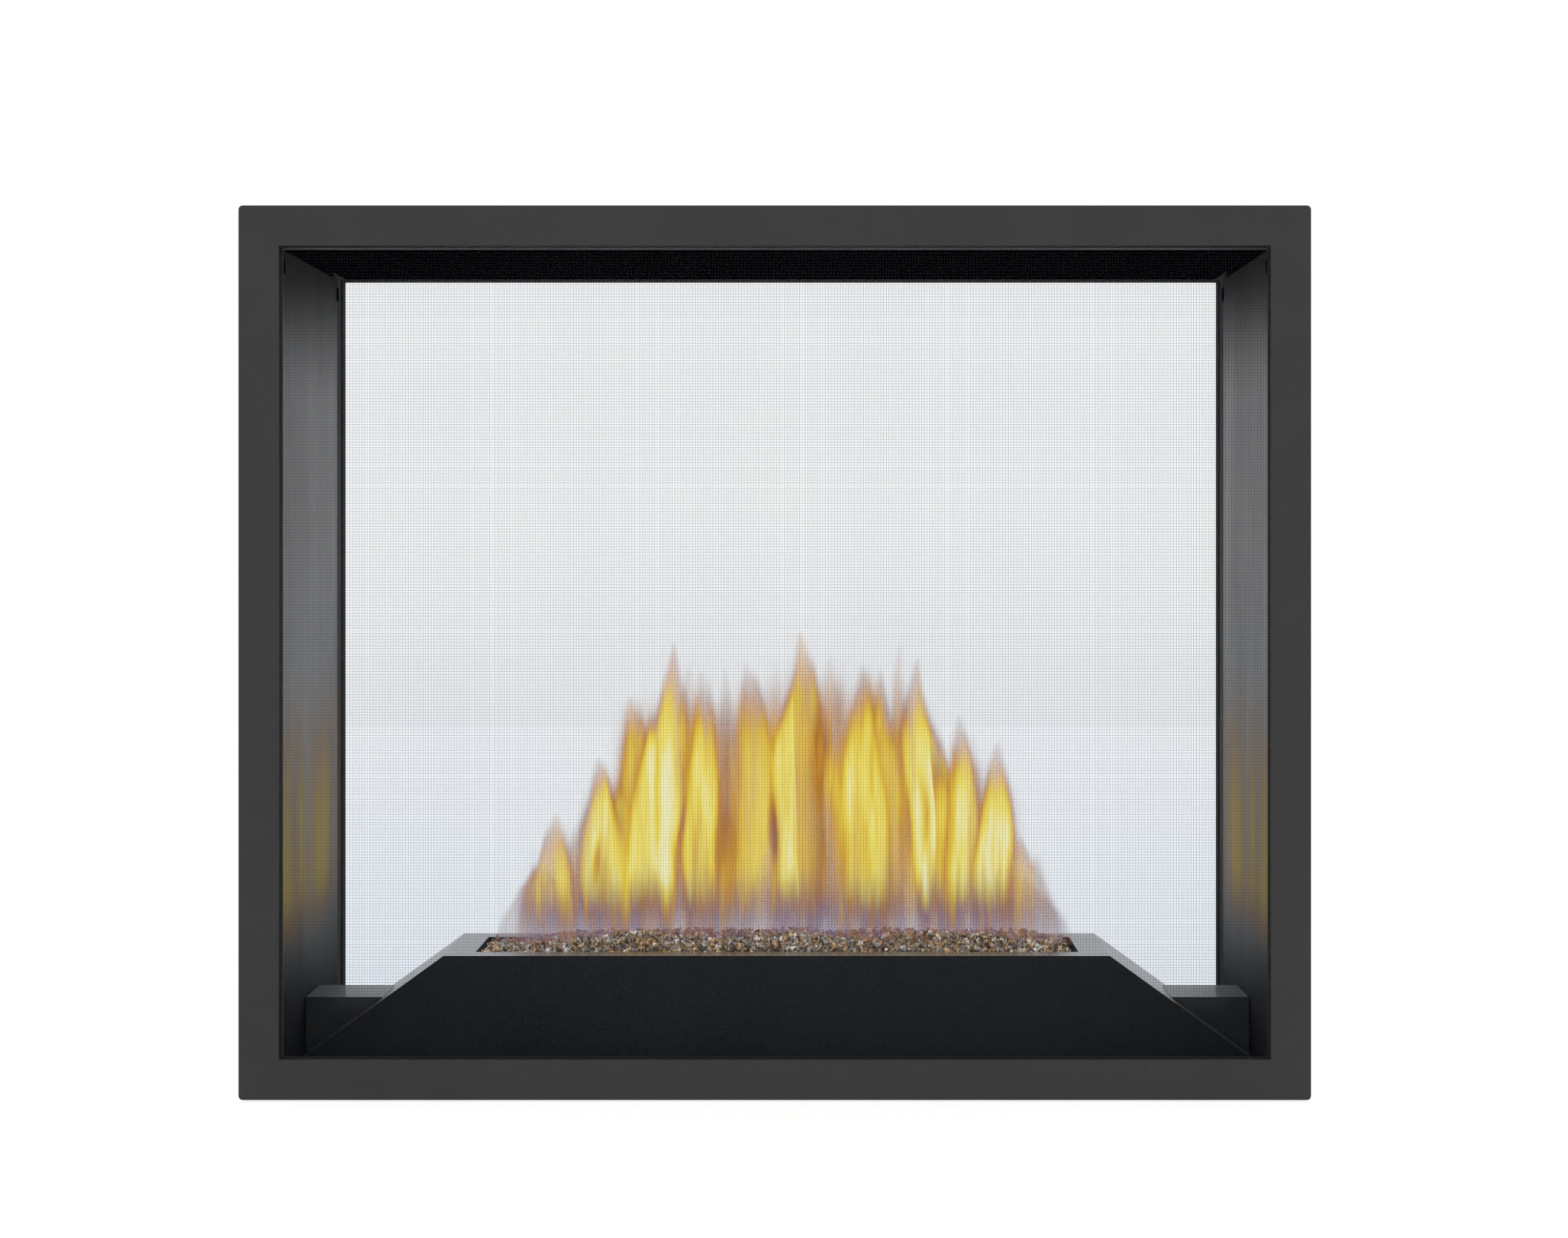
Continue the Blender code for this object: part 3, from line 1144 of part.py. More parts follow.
def build_latch(name, x, rear, door_pivot, steel):
    """A lever hinged on the door, whose nose reaches back over the door and the seat behind it."""
    out, z = latch_axis()
    sign = 1 if rear else -1
    place = Vector((x, sign * out, z))
    pivot = add_pivot(name + "_axis", place - door_pivot.location)
    pivot.parent = door_pivot
    stem = LATCH_SHEET / 2
    root = LATCH_BARREL_RADIUS * LATCH_STEM_START_SHARE
    under = LATCH_RISE - LATCH_SHEET
    path = [(stem, root), (stem, under), (LATCH_REACH, under), (LATCH_REACH, LATCH_RISE)]
    path += [(-LATCH_PULL, LATCH_RISE), (-LATCH_PULL, under), (-stem, under), (-stem, root)]
    half = LATCH_WIDTH / 2
    lever = prism(path, "X", -half, half)
    wall = LATCH_BARREL_RADIUS - LATCH_PIN_RADIUS - FIT_GAP
    barrel = laid_along(sleeve(LATCH_BARREL_RADIUS, wall, LATCH_WIDTH, 10), "X")
    latch = add_object(name, turned_round(welded(lever, moved(barrel, x=-half)), rear), steel)
    latch.parent = pivot


def main():
    clear_scene()
    coat = material("charcoal_powder_coat", (0.055, 0.055, 0.056), 0.55)
    wire = material("dark_screen_wire", (0.060, 0.062, 0.068), 0.45, 0.6)
    black = material("matt_black_steel", (0.014, 0.014, 0.015), 0.60)
    gloss = material("satin_black_enamel", (0.030, 0.030, 0.032), 0.18)
    steel = material("galvanised_steel", (0.52, 0.53, 0.54), 0.42, 1.0)
    hardware = material("bright_steel", (0.60, 0.60, 0.60), 0.30, 1.0)
    mirror_glass = material("black_reflective_glass", (0.012, 0.012, 0.014), 0.05)
    clear = material("clear_ceramic_glass", (0.90, 0.92, 0.92), 0.03, alpha=0.12)
    rope = material("white_rope_gasket", (0.70, 0.68, 0.62), 0.90)
    ember_glass = material("amber_glass", (0.42, 0.16, 0.04), 0.12)
    brass = material("brass", (0.78, 0.57, 0.24), 0.30, 1.0)
    cast = material("cast_aluminium", (0.62, 0.63, 0.64), 0.50, 1.0)
    ceramic = material("white_ceramic", (0.85, 0.84, 0.80), 0.40)
    tube = material("aluminium_tube", (0.70, 0.70, 0.72), 0.30, 1.0)
    plastic = material("black_plastic", (0.030, 0.030, 0.032), 0.50)

    build_base(steel)
    build_casing(steel)
    build_firebox(steel, black, mirror_glass)
    build_door_seats(steel)
    build_collars(steel)
    build_housing(black, gloss)
    build_burner(black, steel, ember_glass)
    build_gas_train(brass, cast, steel, black)
    build_pilot(hardware, ceramic, tube)
    build_controls(plastic, steel)
    for rear in (False, True):
        build_face(rear, coat, wire)
        build_door(rear, black, clear, rope, hardware)


main()
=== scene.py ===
"""Looks of the see-through gas fireplace: finishes, woven screens, embers, flames, light and camera."""

import json
import math
import random

import bmesh
import bpy
from mathutils import Matrix, Vector, noise


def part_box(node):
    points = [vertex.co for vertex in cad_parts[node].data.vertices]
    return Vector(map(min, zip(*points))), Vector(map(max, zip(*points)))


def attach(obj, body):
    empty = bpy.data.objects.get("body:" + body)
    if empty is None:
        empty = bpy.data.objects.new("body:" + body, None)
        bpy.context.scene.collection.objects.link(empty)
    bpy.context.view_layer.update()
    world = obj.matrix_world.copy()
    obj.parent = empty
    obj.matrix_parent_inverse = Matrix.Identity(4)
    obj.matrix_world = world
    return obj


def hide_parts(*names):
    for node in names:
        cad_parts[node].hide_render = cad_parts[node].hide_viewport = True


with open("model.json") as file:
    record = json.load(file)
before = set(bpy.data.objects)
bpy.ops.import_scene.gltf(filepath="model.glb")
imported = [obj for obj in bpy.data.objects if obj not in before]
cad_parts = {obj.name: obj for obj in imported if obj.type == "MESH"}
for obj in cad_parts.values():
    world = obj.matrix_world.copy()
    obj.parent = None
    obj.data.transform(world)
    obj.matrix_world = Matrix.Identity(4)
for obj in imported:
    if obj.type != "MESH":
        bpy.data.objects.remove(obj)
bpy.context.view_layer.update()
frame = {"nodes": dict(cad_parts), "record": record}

# Camera, standing in the front room
CAMERA_PLACE = (0.048, -4.72, 0.550)
CAMERA_TURN = (math.radians(90), 0, 0)
CAMERA_LENS = 102.0
CAMERA_SHIFT = (-0.02495, -0.0453)
MOST_SEE_THROUGH_FACES = 64

# Light
WORLD_LEVEL = 0.62
LAMP_HEIGHT = 2.6
LAMP_DISTANCE = 2.8
LAMP_SPREAD = 1.9
LAMP_SIZE = 2.4
LAMP_POWER = 6.0
LAMP_AIM = (0, 0, 0.45)

# Floor
FLOOR_HALF = 9.0
FLOOR_COLOUR = (0.82, 0.82, 0.82, 1)
FLOOR_SHADE = (0.30, 0.30, 0.30, 1)
FLOOR_GLOW = 0.86

# Noise lies mostly between these values; finishes mix fine grain with clouds so many times broader
NOISE_ENDS = (0.3, 0.7)
FINE_SHARE = 0.6
CLOUD_SIZE = 60
FINE_DETAIL = 3.0

# Pieces around the firebox in black paint, darkened further as painted shade, and the frames that line it
# beside the panels
PAINTED_SHADE_NODES = ("ceiling_baffle", "firebox_top", "left_firebox_wall", "right_firebox_wall")
LINING_NODES = ("front_door_seat", "rear_door_seat", "front_glass_frame", "rear_glass_frame")
# Painted light: lighter grey on the faces of the lining frames toward the rooms
LINING_PAINTED_LIGHT_TONES = ((0.26, 0.262, 0.268), (0.34, 0.343, 0.35))

# Powder coat, and where the folds of a face line its opening, which take painted shade: half width, half
# depth, lowest and highest
COAT_GRAIN = 900.0
COAT_TONES = ((0.034, 0.034, 0.0345), (0.060, 0.060, 0.061))
COAT_ROUGHNESS = (0.50, 0.62)
COAT_DEPTH = 0.00010
FOLD_PAINTED_SHADE_TONES = ((0.003, 0.003, 0.003), (0.006, 0.006, 0.006))
OPENING_FOLDS = (0.51, 0.3075, 0.03, 0.87)

# Enamel: bare faces, and how level a face is where the painted light on its top starts and where it is
# full
ENAMEL_GRAIN = 420.0
ENAMEL_CLOUDS = 14.0
ENAMEL_DEPTH = 0.00002
ENAMEL_TONES = ((0.018, 0.0185, 0.020), (0.040, 0.041, 0.044))
PAINTED_LIGHT_LEVEL = (0.4, 0.7)
LEDGE_TOP_PAINTED_LIGHT = ((0.150, 0.153, 0.163), (0.185, 0.189, 0.201))
LEDGE_ROUGHNESS = (0.46, 0.54)
HOUSING_TOP_PAINTED_LIGHT = ((0.32, 0.325, 0.34), (0.40, 0.405, 0.425))
HOUSING_ROUGHNESS = (0.28, 0.34)

# Zinc: size of the spangle, grain and detail of the rolling
SPANGLE = 95.0
ZINC_GRAIN = (260.0, 4.0)
ZINC_TONES = ((0.1, (0.40, 0.41, 0.42)), (0.9, (0.64, 0.65, 0.67)))
ZINC_ROUGHNESS = (0.32, 0.50)
ZINC_DEPTH = 0.00003

# Side panels: smears and dust, and the heights over which painted shade and a painted reflection of the
# fire come and go
PANEL_SMEARS = (9.0, 4.0, (1, 1, 0.35))
PANEL_DUST = 320.0
PANEL_DUST_DEPTH = 0.000004
PANEL_TONES = ((0.35, (0.010, 0.010, 0.012)), (0.65, (0.020, 0.020, 0.023)))
PANEL_PAINTED_SHADE = (0.001, 0.001, 0.001, 1)
PANEL_ROUGHNESS = (0.36, 0.44)
TOP_PAINTED_SHADE = (0.69, 0.865)
FOOT_PAINTED_SHADE = (0.04, 0.26)
PAINTED_SHADE_SHARPNESS = 2.0
PAINTED_SHADE_LEAVES = 0.15
PAINTED_SHADE_ROUGHNESS = 0.60
PAINTED_REFLECTION_TONGUES = (12.0, 1.0, (0, 1, 0.22))
PAINTED_REFLECTION_DIMMEST = 0.25
PAINTED_REFLECTION_START = (0.13, 0.21)
PAINTED_REFLECTION_END = (0.24, 0.44)
PAINTED_REFLECTION_SIDE = (0.6, 0.9)
PAINTED_REFLECTION_STREAKS = (0.34, 0.62)
PAINTED_REFLECTION_ROUGHNESS = 0.26
PAINTED_REFLECTION_TONES = ((0.0, (0, 0, 0)), (0.35, (0.060, 0.030, 0.003)), (1.0, (0.175, 0.122, 0.018)))

# Panes: tint of the glass above, the darker see-through colour at its foot, heights between the two, and
# the share that it mirrors
PANE_SMEARS = (7.0, 4.0)
PANE_ROUGHNESS = (0.01, 0.05)
PANE_TONES = ((0.020, 0.024, 0.032), (0.034, 0.040, 0.052))
PANE_TINTS = ((0.990, 0.995, 1.0), (0.999, 1.0, 1.0))
PANE_DARKER_FOOT = (0.944, 0.960, 0.978, 1)
PANE_FOOT = (0.05, 0.55)
PANE_SHINE = (0.008, 0.9)
PANE_SHINE_IOR = 1.12

# Fibre rope: its braid
BRAID = {"Scale": 260.0, "Distortion": 2.0, "Detail": 2.0}
BRAID_TONES = ((0.1, (0.34, 0.32, 0.29)), (0.7, (0.72, 0.70, 0.64)))
BRAID_DEPTH = 0.0006

# Finishes of the other material slots: slot, name, dark, light, grain, roughness, bump depth, metal
PLAIN_FINISHES = (
    ("brass", "machined_brass",
     (0.62, 0.42, 0.15), (0.85, 0.64, 0.30), 420.0, (0.22, 0.38), 0.00003, 1.0),
    ("cast_aluminium", "cast_aluminium",
     (0.46, 0.47, 0.48), (0.68, 0.69, 0.70), 520.0, (0.45, 0.62), 0.00012, 1.0),
    ("ceramic", "glazed_ceramic",
     (0.74, 0.73, 0.69), (0.88, 0.87, 0.83), 300.0, (0.18, 0.32), 0.00004, 0.0),
    ("bright_tube", "drawn_aluminium",
     (0.60, 0.60, 0.62), (0.76, 0.76, 0.78), 380.0, (0.20, 0.34), 0.00002, 1.0),
    ("black_plastic", "moulded_black_plastic",
     (0.020, 0.020, 0.022), (0.036, 0.036, 0.038), 600.0, (0.42, 0.58), 0.00008, 0.0),
    ("ember_glass", "bronze_glass_bed",
     (0.09, 0.06, 0.04), (0.26, 0.18, 0.125), 240.0, (0.2, 0.4), 0.0012, 0.0),
)

# Woven screens
WIRE_PITCH = 0.00288
WIRE_RADIUS = 0.000067
WIRE_SIDES = 6

# Glass embers
EMBER_SEED = 41
EMBER_SHAPES = 28
EMBER_CORNERS = 7
EMBER_REACH = (0.75, 1.1)
EMBER_FLATNESS = (0.35, 0.85)
EMBER_RADIUS = (0.0036, 0.0074)
EMBER_PITCH = 0.0068
EMBER_LAYERS = 3
EMBER_LAYER_STEP = 0.0042
EMBER_LIFT = (-0.001, 0.0015)
EMBER_LEFT_SPREAD = 0.0435
EMBER_LEFT_LIFT = (-0.001, 0.002)
EMBER_CROWN = 0.0125
EMBER_SWELL = 0.35
EMBER_SWELL_SCALE = 22
EMBER_EDGE_DROP = 0.0015
EMBER_BED_DROP = 0.007

# Each tint of glass: name, share of the pieces, dark, light, how much light goes through, roughness
EMBER_TINTS = (
    ("amber_ember_glass", 0.26, (0.55, 0.33, 0.15), (0.95, 0.74, 0.48), 0.30, (0.06, 0.16)),
    ("bronze_ember_glass", 0.38, (0.20, 0.135, 0.095), (0.52, 0.39, 0.29), 0.20, (0.08, 0.20)),
    ("clear_ember_glass", 0.18, (0.85, 0.84, 0.82), (1.0, 0.99, 0.97), 0.50, (0.03, 0.10)),
    ("smoke_ember_glass", 0.18, (0.30, 0.28, 0.265), (0.62, 0.59, 0.56), 0.30, (0.05, 0.14)),
)
# Clouds and chips in the glass: scale, cloud values between which its colour turns, where its painted glow
# starts
EMBER_CLOUDS = 210.0
EMBER_CLOUD_ENDS = (0.40, 0.62)
EMBER_PAINTED_GLOW_START = 0.46
EMBER_PAINTED_GLOW = 0.24
EMBER_CHIPS = 480.0
EMBER_CHIP_DEPTH = 0.00012

# Flames: the grid of a curtain, and how its light runs
FLAME_ROOT = 0.128
FLAME_TOP = 0.500
FLAME_SIDES = (-0.300, 0.312)
FLAME_COLUMN = 0.0018
FLAME_ROW = 0.0036
LEAST_COVER = 0.012
MOST_COVER = 0.97
BROAD_STREAKS = (46.0, 2.0, (1, 0.3, 0.13))
FINE_STREAKS = (150.0, 2.0, (1, 0.2, 0.07))
BROAD_SHARE = 0.6
STREAK_MIDDLE = 0.5
# Cover over the streaks: lowest and highest, and the streaks' values between which it runs
STREAK_COVER = (0.72, 1.18, 0.36, 0.62)
FLAME_STRENGTH = 0.94
FLAME_PUSH = 1.45
HEAT_SHARE = 0.84
HEAT_TONES = (
    (0.00, (0.30, 0.105, 0.028)),
    (0.18, (0.56, 0.235, 0.032)),
    (0.36, (0.75, 0.42, 0.050)),
    (0.56, (0.89, 0.65, 0.072)),
    (0.78, (0.98, 0.83, 0.17)),
    (1.00, (1.00, 0.96, 0.58)),
)
FOOT_TONES = ((0.43, (0.33, 0.15, 0.10)), (0.50, (0.20, 0.15, 0.27)), (0.57, (0.38, 0.20, 0.14)))
FOOT_RISE = (0.014, 0.092)
FOOT_RAGGED = 0.10

# Shape of a tongue: width of its foot, sharpness of its tip, lean, softness of its edge and its core
TONGUE_FOOT = 0.80
TONGUE_TIP = 0.9
TONGUE_LEAN = 1.4
TONGUE_EDGE = 0.0055
TONGUE_CORE = 0.011
# Shares of a tongue's rise over which its body and its core fade, and how much of them goes
BODY_FADE = (0.72, 1.0, 0.65)
CORE_FADE = (0.55, 1.0, 0.60)
# Heights over the burner at which a core sets in, and how far these differ from tongue to tongue
CORE_START = (0.004, 0.072)
CORE_START_SPREAD = 0.030
CORE_START_NOISE = (37, 4.1)
VEIL_EDGE = 0.012
VEIL_FADE = 0.11

# Noise that sways a curtain: scale across, scale up, step from its seed, size
WANDER = ((11, 9, 0, 0.011), (55, 16, 0, 0.0045))
LICK = ((95, 7, 9, 0.016), (30, 5, 0, 0.012))
SWAY = ((6, 8, 3, 0.012),)
# Heights over the burner within which the lick and the wander of the tongues set in
LICK_START = 0.12
WANDER_START = 0.1
# Cover at the burner, and the height over it where the cover is whole
THIN_FOOT = 0.55
THIN_FOOT_RISE = 0.05
# Softness of a hollow's rim, in shares of its size
HOLLOW_RIM = (0.4, 1.6)

# Each tongue: foot x, tip x, tip height, half width, where it is widest, cover, heat
FRONT_TONGUES = (
    (-0.242, -0.236, 0.262, 0.036, 0.05, 0.72, 0.55),
    (-0.180, -0.194, 0.333, 0.025, 0.40, 0.93, 1.05),
    (-0.136, -0.111, 0.438, 0.029, 0.42, 0.95, 1.00),
    (-0.080, -0.083, 0.425, 0.020, 0.45, 0.93, 0.90),
    (0.021, 0.022, 0.464, 0.030, 0.46, 0.95, 0.95),
    (0.094, 0.092, 0.420, 0.031, 0.45, 0.93, 0.88),
    (0.172, 0.146, 0.424, 0.026, 0.45, 0.95, 1.05),
    (0.228, 0.232, 0.340, 0.024, 0.45, 0.95, 1.05),
    (0.268, 0.248, 0.262, 0.034, 0.03, 0.55, 0.35),
)
REAR_TONGUES = (
    (-0.262, -0.246, 0.214, 0.040, 0.05, 0.50, 0.30),
    (-0.163, -0.166, 0.320, 0.017, 0.50, 0.88, 0.80),
    (-0.146, -0.155, 0.396, 0.019, 0.55, 0.88, 0.70),
    (-0.099, -0.096, 0.428, 0.009, 0.75, 0.80, 0.75),
    (-0.026, -0.028, 0.430, 0.025, 0.42, 0.94, 0.85),
    (0.058, 0.060, 0.434, 0.014, 0.70, 0.62, 0.55),
    (0.112, 0.106, 0.418, 0.021, 0.55, 0.92, 0.85),
    (0.130, 0.123, 0.448, 0.010, 0.60, 0.50, 0.45),
    (0.166, 0.170, 0.345, 0.017, 0.40, 0.82, 0.55),
    (0.205, 0.200, 0.370, 0.023, 0.45, 0.94, 0.95),
    (0.280, 0.258, 0.200, 0.034, 0.03, 0.45, 0.28),
    (-0.210, -0.206, 0.300, 0.010, 0.50, 0.50, 0.25),
    (-0.055, -0.052, 0.420, 0.010, 0.70, 0.55, 0.30),
    (0.042, 0.048, 0.405, 0.010, 0.70, 0.55, 0.25),
    (0.184, 0.187, 0.352, 0.009, 0.60, 0.50, 0.35),
    (0.218, 0.215, 0.356, 0.008, 0.70, 0.50, 0.45),
)

# The thin glow between the tongues: x, height of its top, half width, cover, heat
VEILS = (
    (-0.276, 0.176, 0.026, 0.55, 0.14),
    (-0.240, 0.235, 0.028, 0.62, 0.20),
    (-0.205, 0.270, 0.024, 0.60, 0.08),
    (-0.172, 0.330, 0.026, 0.78, 0.34),
    (-0.140, 0.400, 0.026, 0.82, 0.38),
    (-0.106, 0.405, 0.024, 0.80, 0.26),
    (-0.076, 0.400, 0.024, 0.78, 0.36),
    (-0.052, 0.405, 0.020, 0.78, 0.10),
    (-0.024, 0.425, 0.026, 0.80, 0.40),
    (0.014, 0.440, 0.028, 0.82, 0.44),
    (0.050, 0.425, 0.020, 0.80, 0.12),
    (0.080, 0.425, 0.026, 0.82, 0.44),
    (0.112, 0.420, 0.026, 0.84, 0.44),
    (0.142, 0.395, 0.026, 0.76, 0.34),
    (0.176, 0.345, 0.024, 0.76, 0.14),
    (0.204, 0.340, 0.026, 0.80, 0.38),
    (0.232, 0.320, 0.024, 0.80, 0.38),
    (0.258, 0.240, 0.022, 0.60, 0.18),
    (0.277, 0.175, 0.024, 0.50, 0.16),
)

# Dark hollows inside the flame: x, height, half width, half height, share of the heat it takes
HOLLOWS = (
    (-0.187, 0.216, 0.0050, 0.024, 0.55),
    (-0.128, 0.290, 0.0035, 0.050, 0.30),
    (-0.060, 0.270, 0.0060, 0.060, 0.45),
    (-0.008, 0.250, 0.0050, 0.034, 0.60),
    (0.049, 0.330, 0.0080, 0.050, 0.60),
    (0.104, 0.300, 0.0030, 0.060, 0.30),
    (0.156, 0.270, 0.0035, 0.045, 0.35),
    (0.186, 0.250, 0.0060, 0.045, 0.55),
    (0.222, 0.270, 0.0030, 0.030, 0.30),
)

# Each curtain: tongues, share of the veils that it shows, depth, swing, its length and shift, seed
CURTAINS = (
    (REAR_TONGUES, 0.92, 0.020, 0.026, 0.132, 0.40, 5.3),
    (FRONT_TONGUES, 0.42, -0.016, 0.030, 0.168, 0.10, 31.7),
)


def linked(tree, kind, inputs=None, **settings):
    """Add a node, set its options, and fill or link its inputs by name or number."""
    node = tree.nodes.new(kind)
    for name, value in settings.items():
        setattr(node, name, value)
    for key, value in (inputs or {}).items():
        if isinstance(value, bpy.types.NodeSocket):
            tree.links.new(value, node.inputs[key])
        else:
            node.inputs[key].default_value = value
    return node


def place_of(tree, stretch=(1, 1, 1)):
    """Object coordinates in metres, stretched along each axis."""
    where = linked(tree, "ShaderNodeTexCoord").outputs["Object"]
    return linked(tree, "ShaderNodeMapping", {"Vector": where, "Scale": stretch}).outputs["Vector"]


def height_of(tree):
    return linked(tree, "ShaderNodeSeparateXYZ", {"Vector": place_of(tree)}).outputs["Z"]


def grain_of(tree, scale, detail=2.0, stretch=(1, 1, 1)):
    inputs = {"Vector": place_of(tree, stretch), "Scale": scale, "Detail": detail}
    return linked(tree, "ShaderNodeTexNoise", inputs).outputs["Fac"]


def spread(tree, source, low, high, start=0.0, end=1.0, kind="LINEAR"):
    """Map a value from one range to another."""
    inputs = {"Value": source, "From Min": start, "From Max": end, "To Min": low, "To Max": high}
    return linked(tree, "ShaderNodeMapRange", inputs, interpolation_type=kind).outputs["Result"]


def maths(tree, operation, first, second=0.0):
    return linked(tree, "ShaderNodeMath", {0: first, 1: second}, operation=operation).outputs[0]


def summed(tree, first, second, share):
    """Two values added, the first by its share and the second by the rest."""
    first = maths(tree, "MULTIPLY", first, share)
    return maths(tree, "ADD", first, maths(tree, "MULTIPLY", second, 1 - share))


def ramp_of(tree, source, stops):
    """Colour by value: stops are (position, colour)."""
    node = linked(tree, "ShaderNodeValToRGB", {"Fac": source})
    elements = node.color_ramp.elements
    while len(elements) < len(stops):
        elements.new(0.5)
    for element, (position, colour) in zip(elements, stops):
        element.position = position
        element.color = (*colour, 1.0)
    return node.outputs["Color"]


def toned(tree, source, tones):
    """Colour from dark to light over the values that noise takes."""
    return ramp_of(tree, source, list(zip(NOISE_ENDS, tones)))


def uneven(tree, source, ends):
    """Value between two ends over the values that noise takes."""
    return spread(tree, source, *ends, *NOISE_ENDS)


def blended(tree, share, first, second):
    """The first colour, which goes over to the second as the share rises."""
    inputs = {0: share, 6: first, 7: second}
    return linked(tree, "ShaderNodeMix", inputs, data_type="RGBA").outputs[2]


def facing(tree, axis, low, high):
    """How far a face looks along an axis, either way: zero at the low end, one at the high."""
    normal = linked(tree, "ShaderNodeTexCoord").outputs["Normal"]
    part = linked(tree, "ShaderNodeSeparateXYZ", {"Vector": normal}).outputs[axis]
    return spread(tree, maths(tree, "ABSOLUTE", part), 0.0, 1.0, low, high)


def within(tree, value, low, high):
    """One between two limits, zero outside."""
    above = maths(tree, "GREATER_THAN", value, low)
    return maths(tree, "MULTIPLY", above, maths(tree, "LESS_THAN", value, high))


def bumped(tree, shader, height, depth):
    bump = linked(tree, "ShaderNodeBump", {"Height": height, "Distance": depth, "Strength": 1.0})
    tree.links.new(bump.outputs["Normal"], shader.inputs["Normal"])


def finish(name, **inputs):
    """A material with one Principled shader, whose constant inputs are given by name."""
    material = bpy.data.materials.new(name)
    material.use_nodes = True
    tree = material.node_tree
    shader = tree.nodes["Principled BSDF"]
    for key, value in inputs.items():
        shader.inputs[key.replace("_", " ")].default_value = value
    return material, tree, shader


def coloured(tree, shader, colour, roughness):
    tree.links.new(colour, shader.inputs["Base Color"])
    tree.links.new(roughness, shader.inputs["Roughness"])


def glowing(tree, shader, colour, strength=1.0):
    tree.links.new(colour, shader.inputs["Emission Color"])
    shader.inputs["Emission Strength"].default_value = strength


def grain_and_clouds(tree, scale, stretch=(1, 1, 1)):
    """Fine grain, the broad clouds under it, and the two together."""
    fine = grain_of(tree, scale, FINE_DETAIL, stretch)
    broad = grain_of(tree, scale / CLOUD_SIZE)
    return fine, broad, summed(tree, fine, broad, FINE_SHARE)


def mottled(name, dark, light, scale, rough, depth, metallic=0.0, stretch=(1, 1, 1), **extra):
    """A finish whose colour and roughness vary in fine grain over broad clouds."""
    material, tree, shader = finish(name, Metallic=metallic, **extra)
    fine, broad, mixed = grain_and_clouds(tree, scale, stretch)
    coloured(tree, shader, toned(tree, mixed, (dark, light)), uneven(tree, broad, rough))
    bumped(tree, shader, fine, depth)
    return material


def powder_coat():
    """Charcoal powder coat, with painted shade in near black on the folds that line the opening except on
    their edges.
    """
    material, tree, shader = finish("charcoal_powder_coat", Specular_IOR_Level=0.30)
    fine, broad, mixed = grain_and_clouds(tree, COAT_GRAIN)
    half_width, half_depth, lowest, highest = OPENING_FOLDS
    where = linked(tree, "ShaderNodeSeparateXYZ", {"Vector": place_of(tree)}).outputs
    across = within(tree, maths(tree, "ABSOLUTE", where["X"]), 0.0, half_width)
    along = within(tree, maths(tree, "ABSOLUTE", where["Y"]), 0.0, half_depth)
    up = within(tree, where["Z"], lowest, highest)
    inside = maths(tree, "MULTIPLY", maths(tree, "MULTIPLY", across, along), up)
    inside = maths(tree, "MULTIPLY", inside, facing(tree, "Y", 1.0, 0.0))
    # Painted shade: the folds that line the opening turn near black and fully rough
    shown = blended(tree, inside, toned(tree, mixed, COAT_TONES), toned(tree, mixed, FOLD_PAINTED_SHADE_TONES))
    coloured(tree, shader, shown, maths(tree, "MAXIMUM", uneven(tree, broad, COAT_ROUGHNESS), inside))
    bumped(tree, shader, fine, COAT_DEPTH)
    return material


def matt_black():
    dark, light = (0.024, 0.024, 0.0265), (0.050, 0.050, 0.054)
    return mottled("matt_stove_black", dark, light, 700.0, (0.55, 0.70), 0.00006, Specular_IOR_Level=0.12)


def painted_shade_black():
    """Black paint around the fire, darkened further as painted shade so that it gives back almost no light
    even at a low angle.
    """
    dark, light = (0.0036, 0.0036, 0.0036), (0.0075, 0.0072, 0.0071)
    return mottled("black_paint_with_painted_shade", dark, light, 700.0, (0.75, 0.90), 0.00006, Specular_IOR_Level=0.0)


def black_enamel(name, dust, roughness):
    """Black enamel, lighter on its level faces as painted light, slightly uneven like sprayed sheet."""
    material, tree, shader = finish(name, Coat_Weight=0.2, Coat_Roughness=0.08)
    fine = grain_of(tree, ENAMEL_GRAIN, FINE_DETAIL)
    broad = grain_of(tree, ENAMEL_CLOUDS)
    bare = toned(tree, broad, ENAMEL_TONES)
    # Painted light: faces that look up take the lighter tones given for them
    shown = blended(tree, facing(tree, "Z", *PAINTED_LIGHT_LEVEL), bare, toned(tree, broad, dust))
    coloured(tree, shader, shown, uneven(tree, broad, roughness))
    bumped(tree, shader, fine, ENAMEL_DEPTH)
    return material


def wire_finish():
    dark, light = (0.012, 0.014, 0.020), (0.028, 0.033, 0.046)
    return mottled("blackened_wire", dark, light, 600.0, (0.50, 0.65), 0.00001, Specular_IOR_Level=0.2)


def galvanised():
    """Zinc spangle: crystal patches of different grey, each brushed by the rolling."""
    material, tree, shader = finish("galvanised_sheet", Metallic=1.0)
    cells = linked(tree, "ShaderNodeTexVoronoi", {"Vector": place_of(tree), "Scale": SPANGLE})
    tone = linked(tree, "ShaderNodeSeparateColor", {"Color": cells.outputs["Color"]}).outputs["Red"]
    fine = grain_of(tree, *ZINC_GRAIN)
    mixed = summed(tree, tone, fine, FINE_SHARE)
    coloured(tree, shader, ramp_of(tree, mixed, ZINC_TONES), spread(tree, mixed, *ZINC_ROUGHNESS))
    bumped(tree, shader, fine, ZINC_DEPTH)
    return material


def bright_steel():
    """Zinc plate with the lines of rolling along X."""
    dark, light = (0.46, 0.46, 0.45), (0.70, 0.70, 0.68)
    return mottled("zinc_plated_steel", dark, light, 500.0, (0.22, 0.36), 0.00002, 1.0, (0.06, 1, 1))


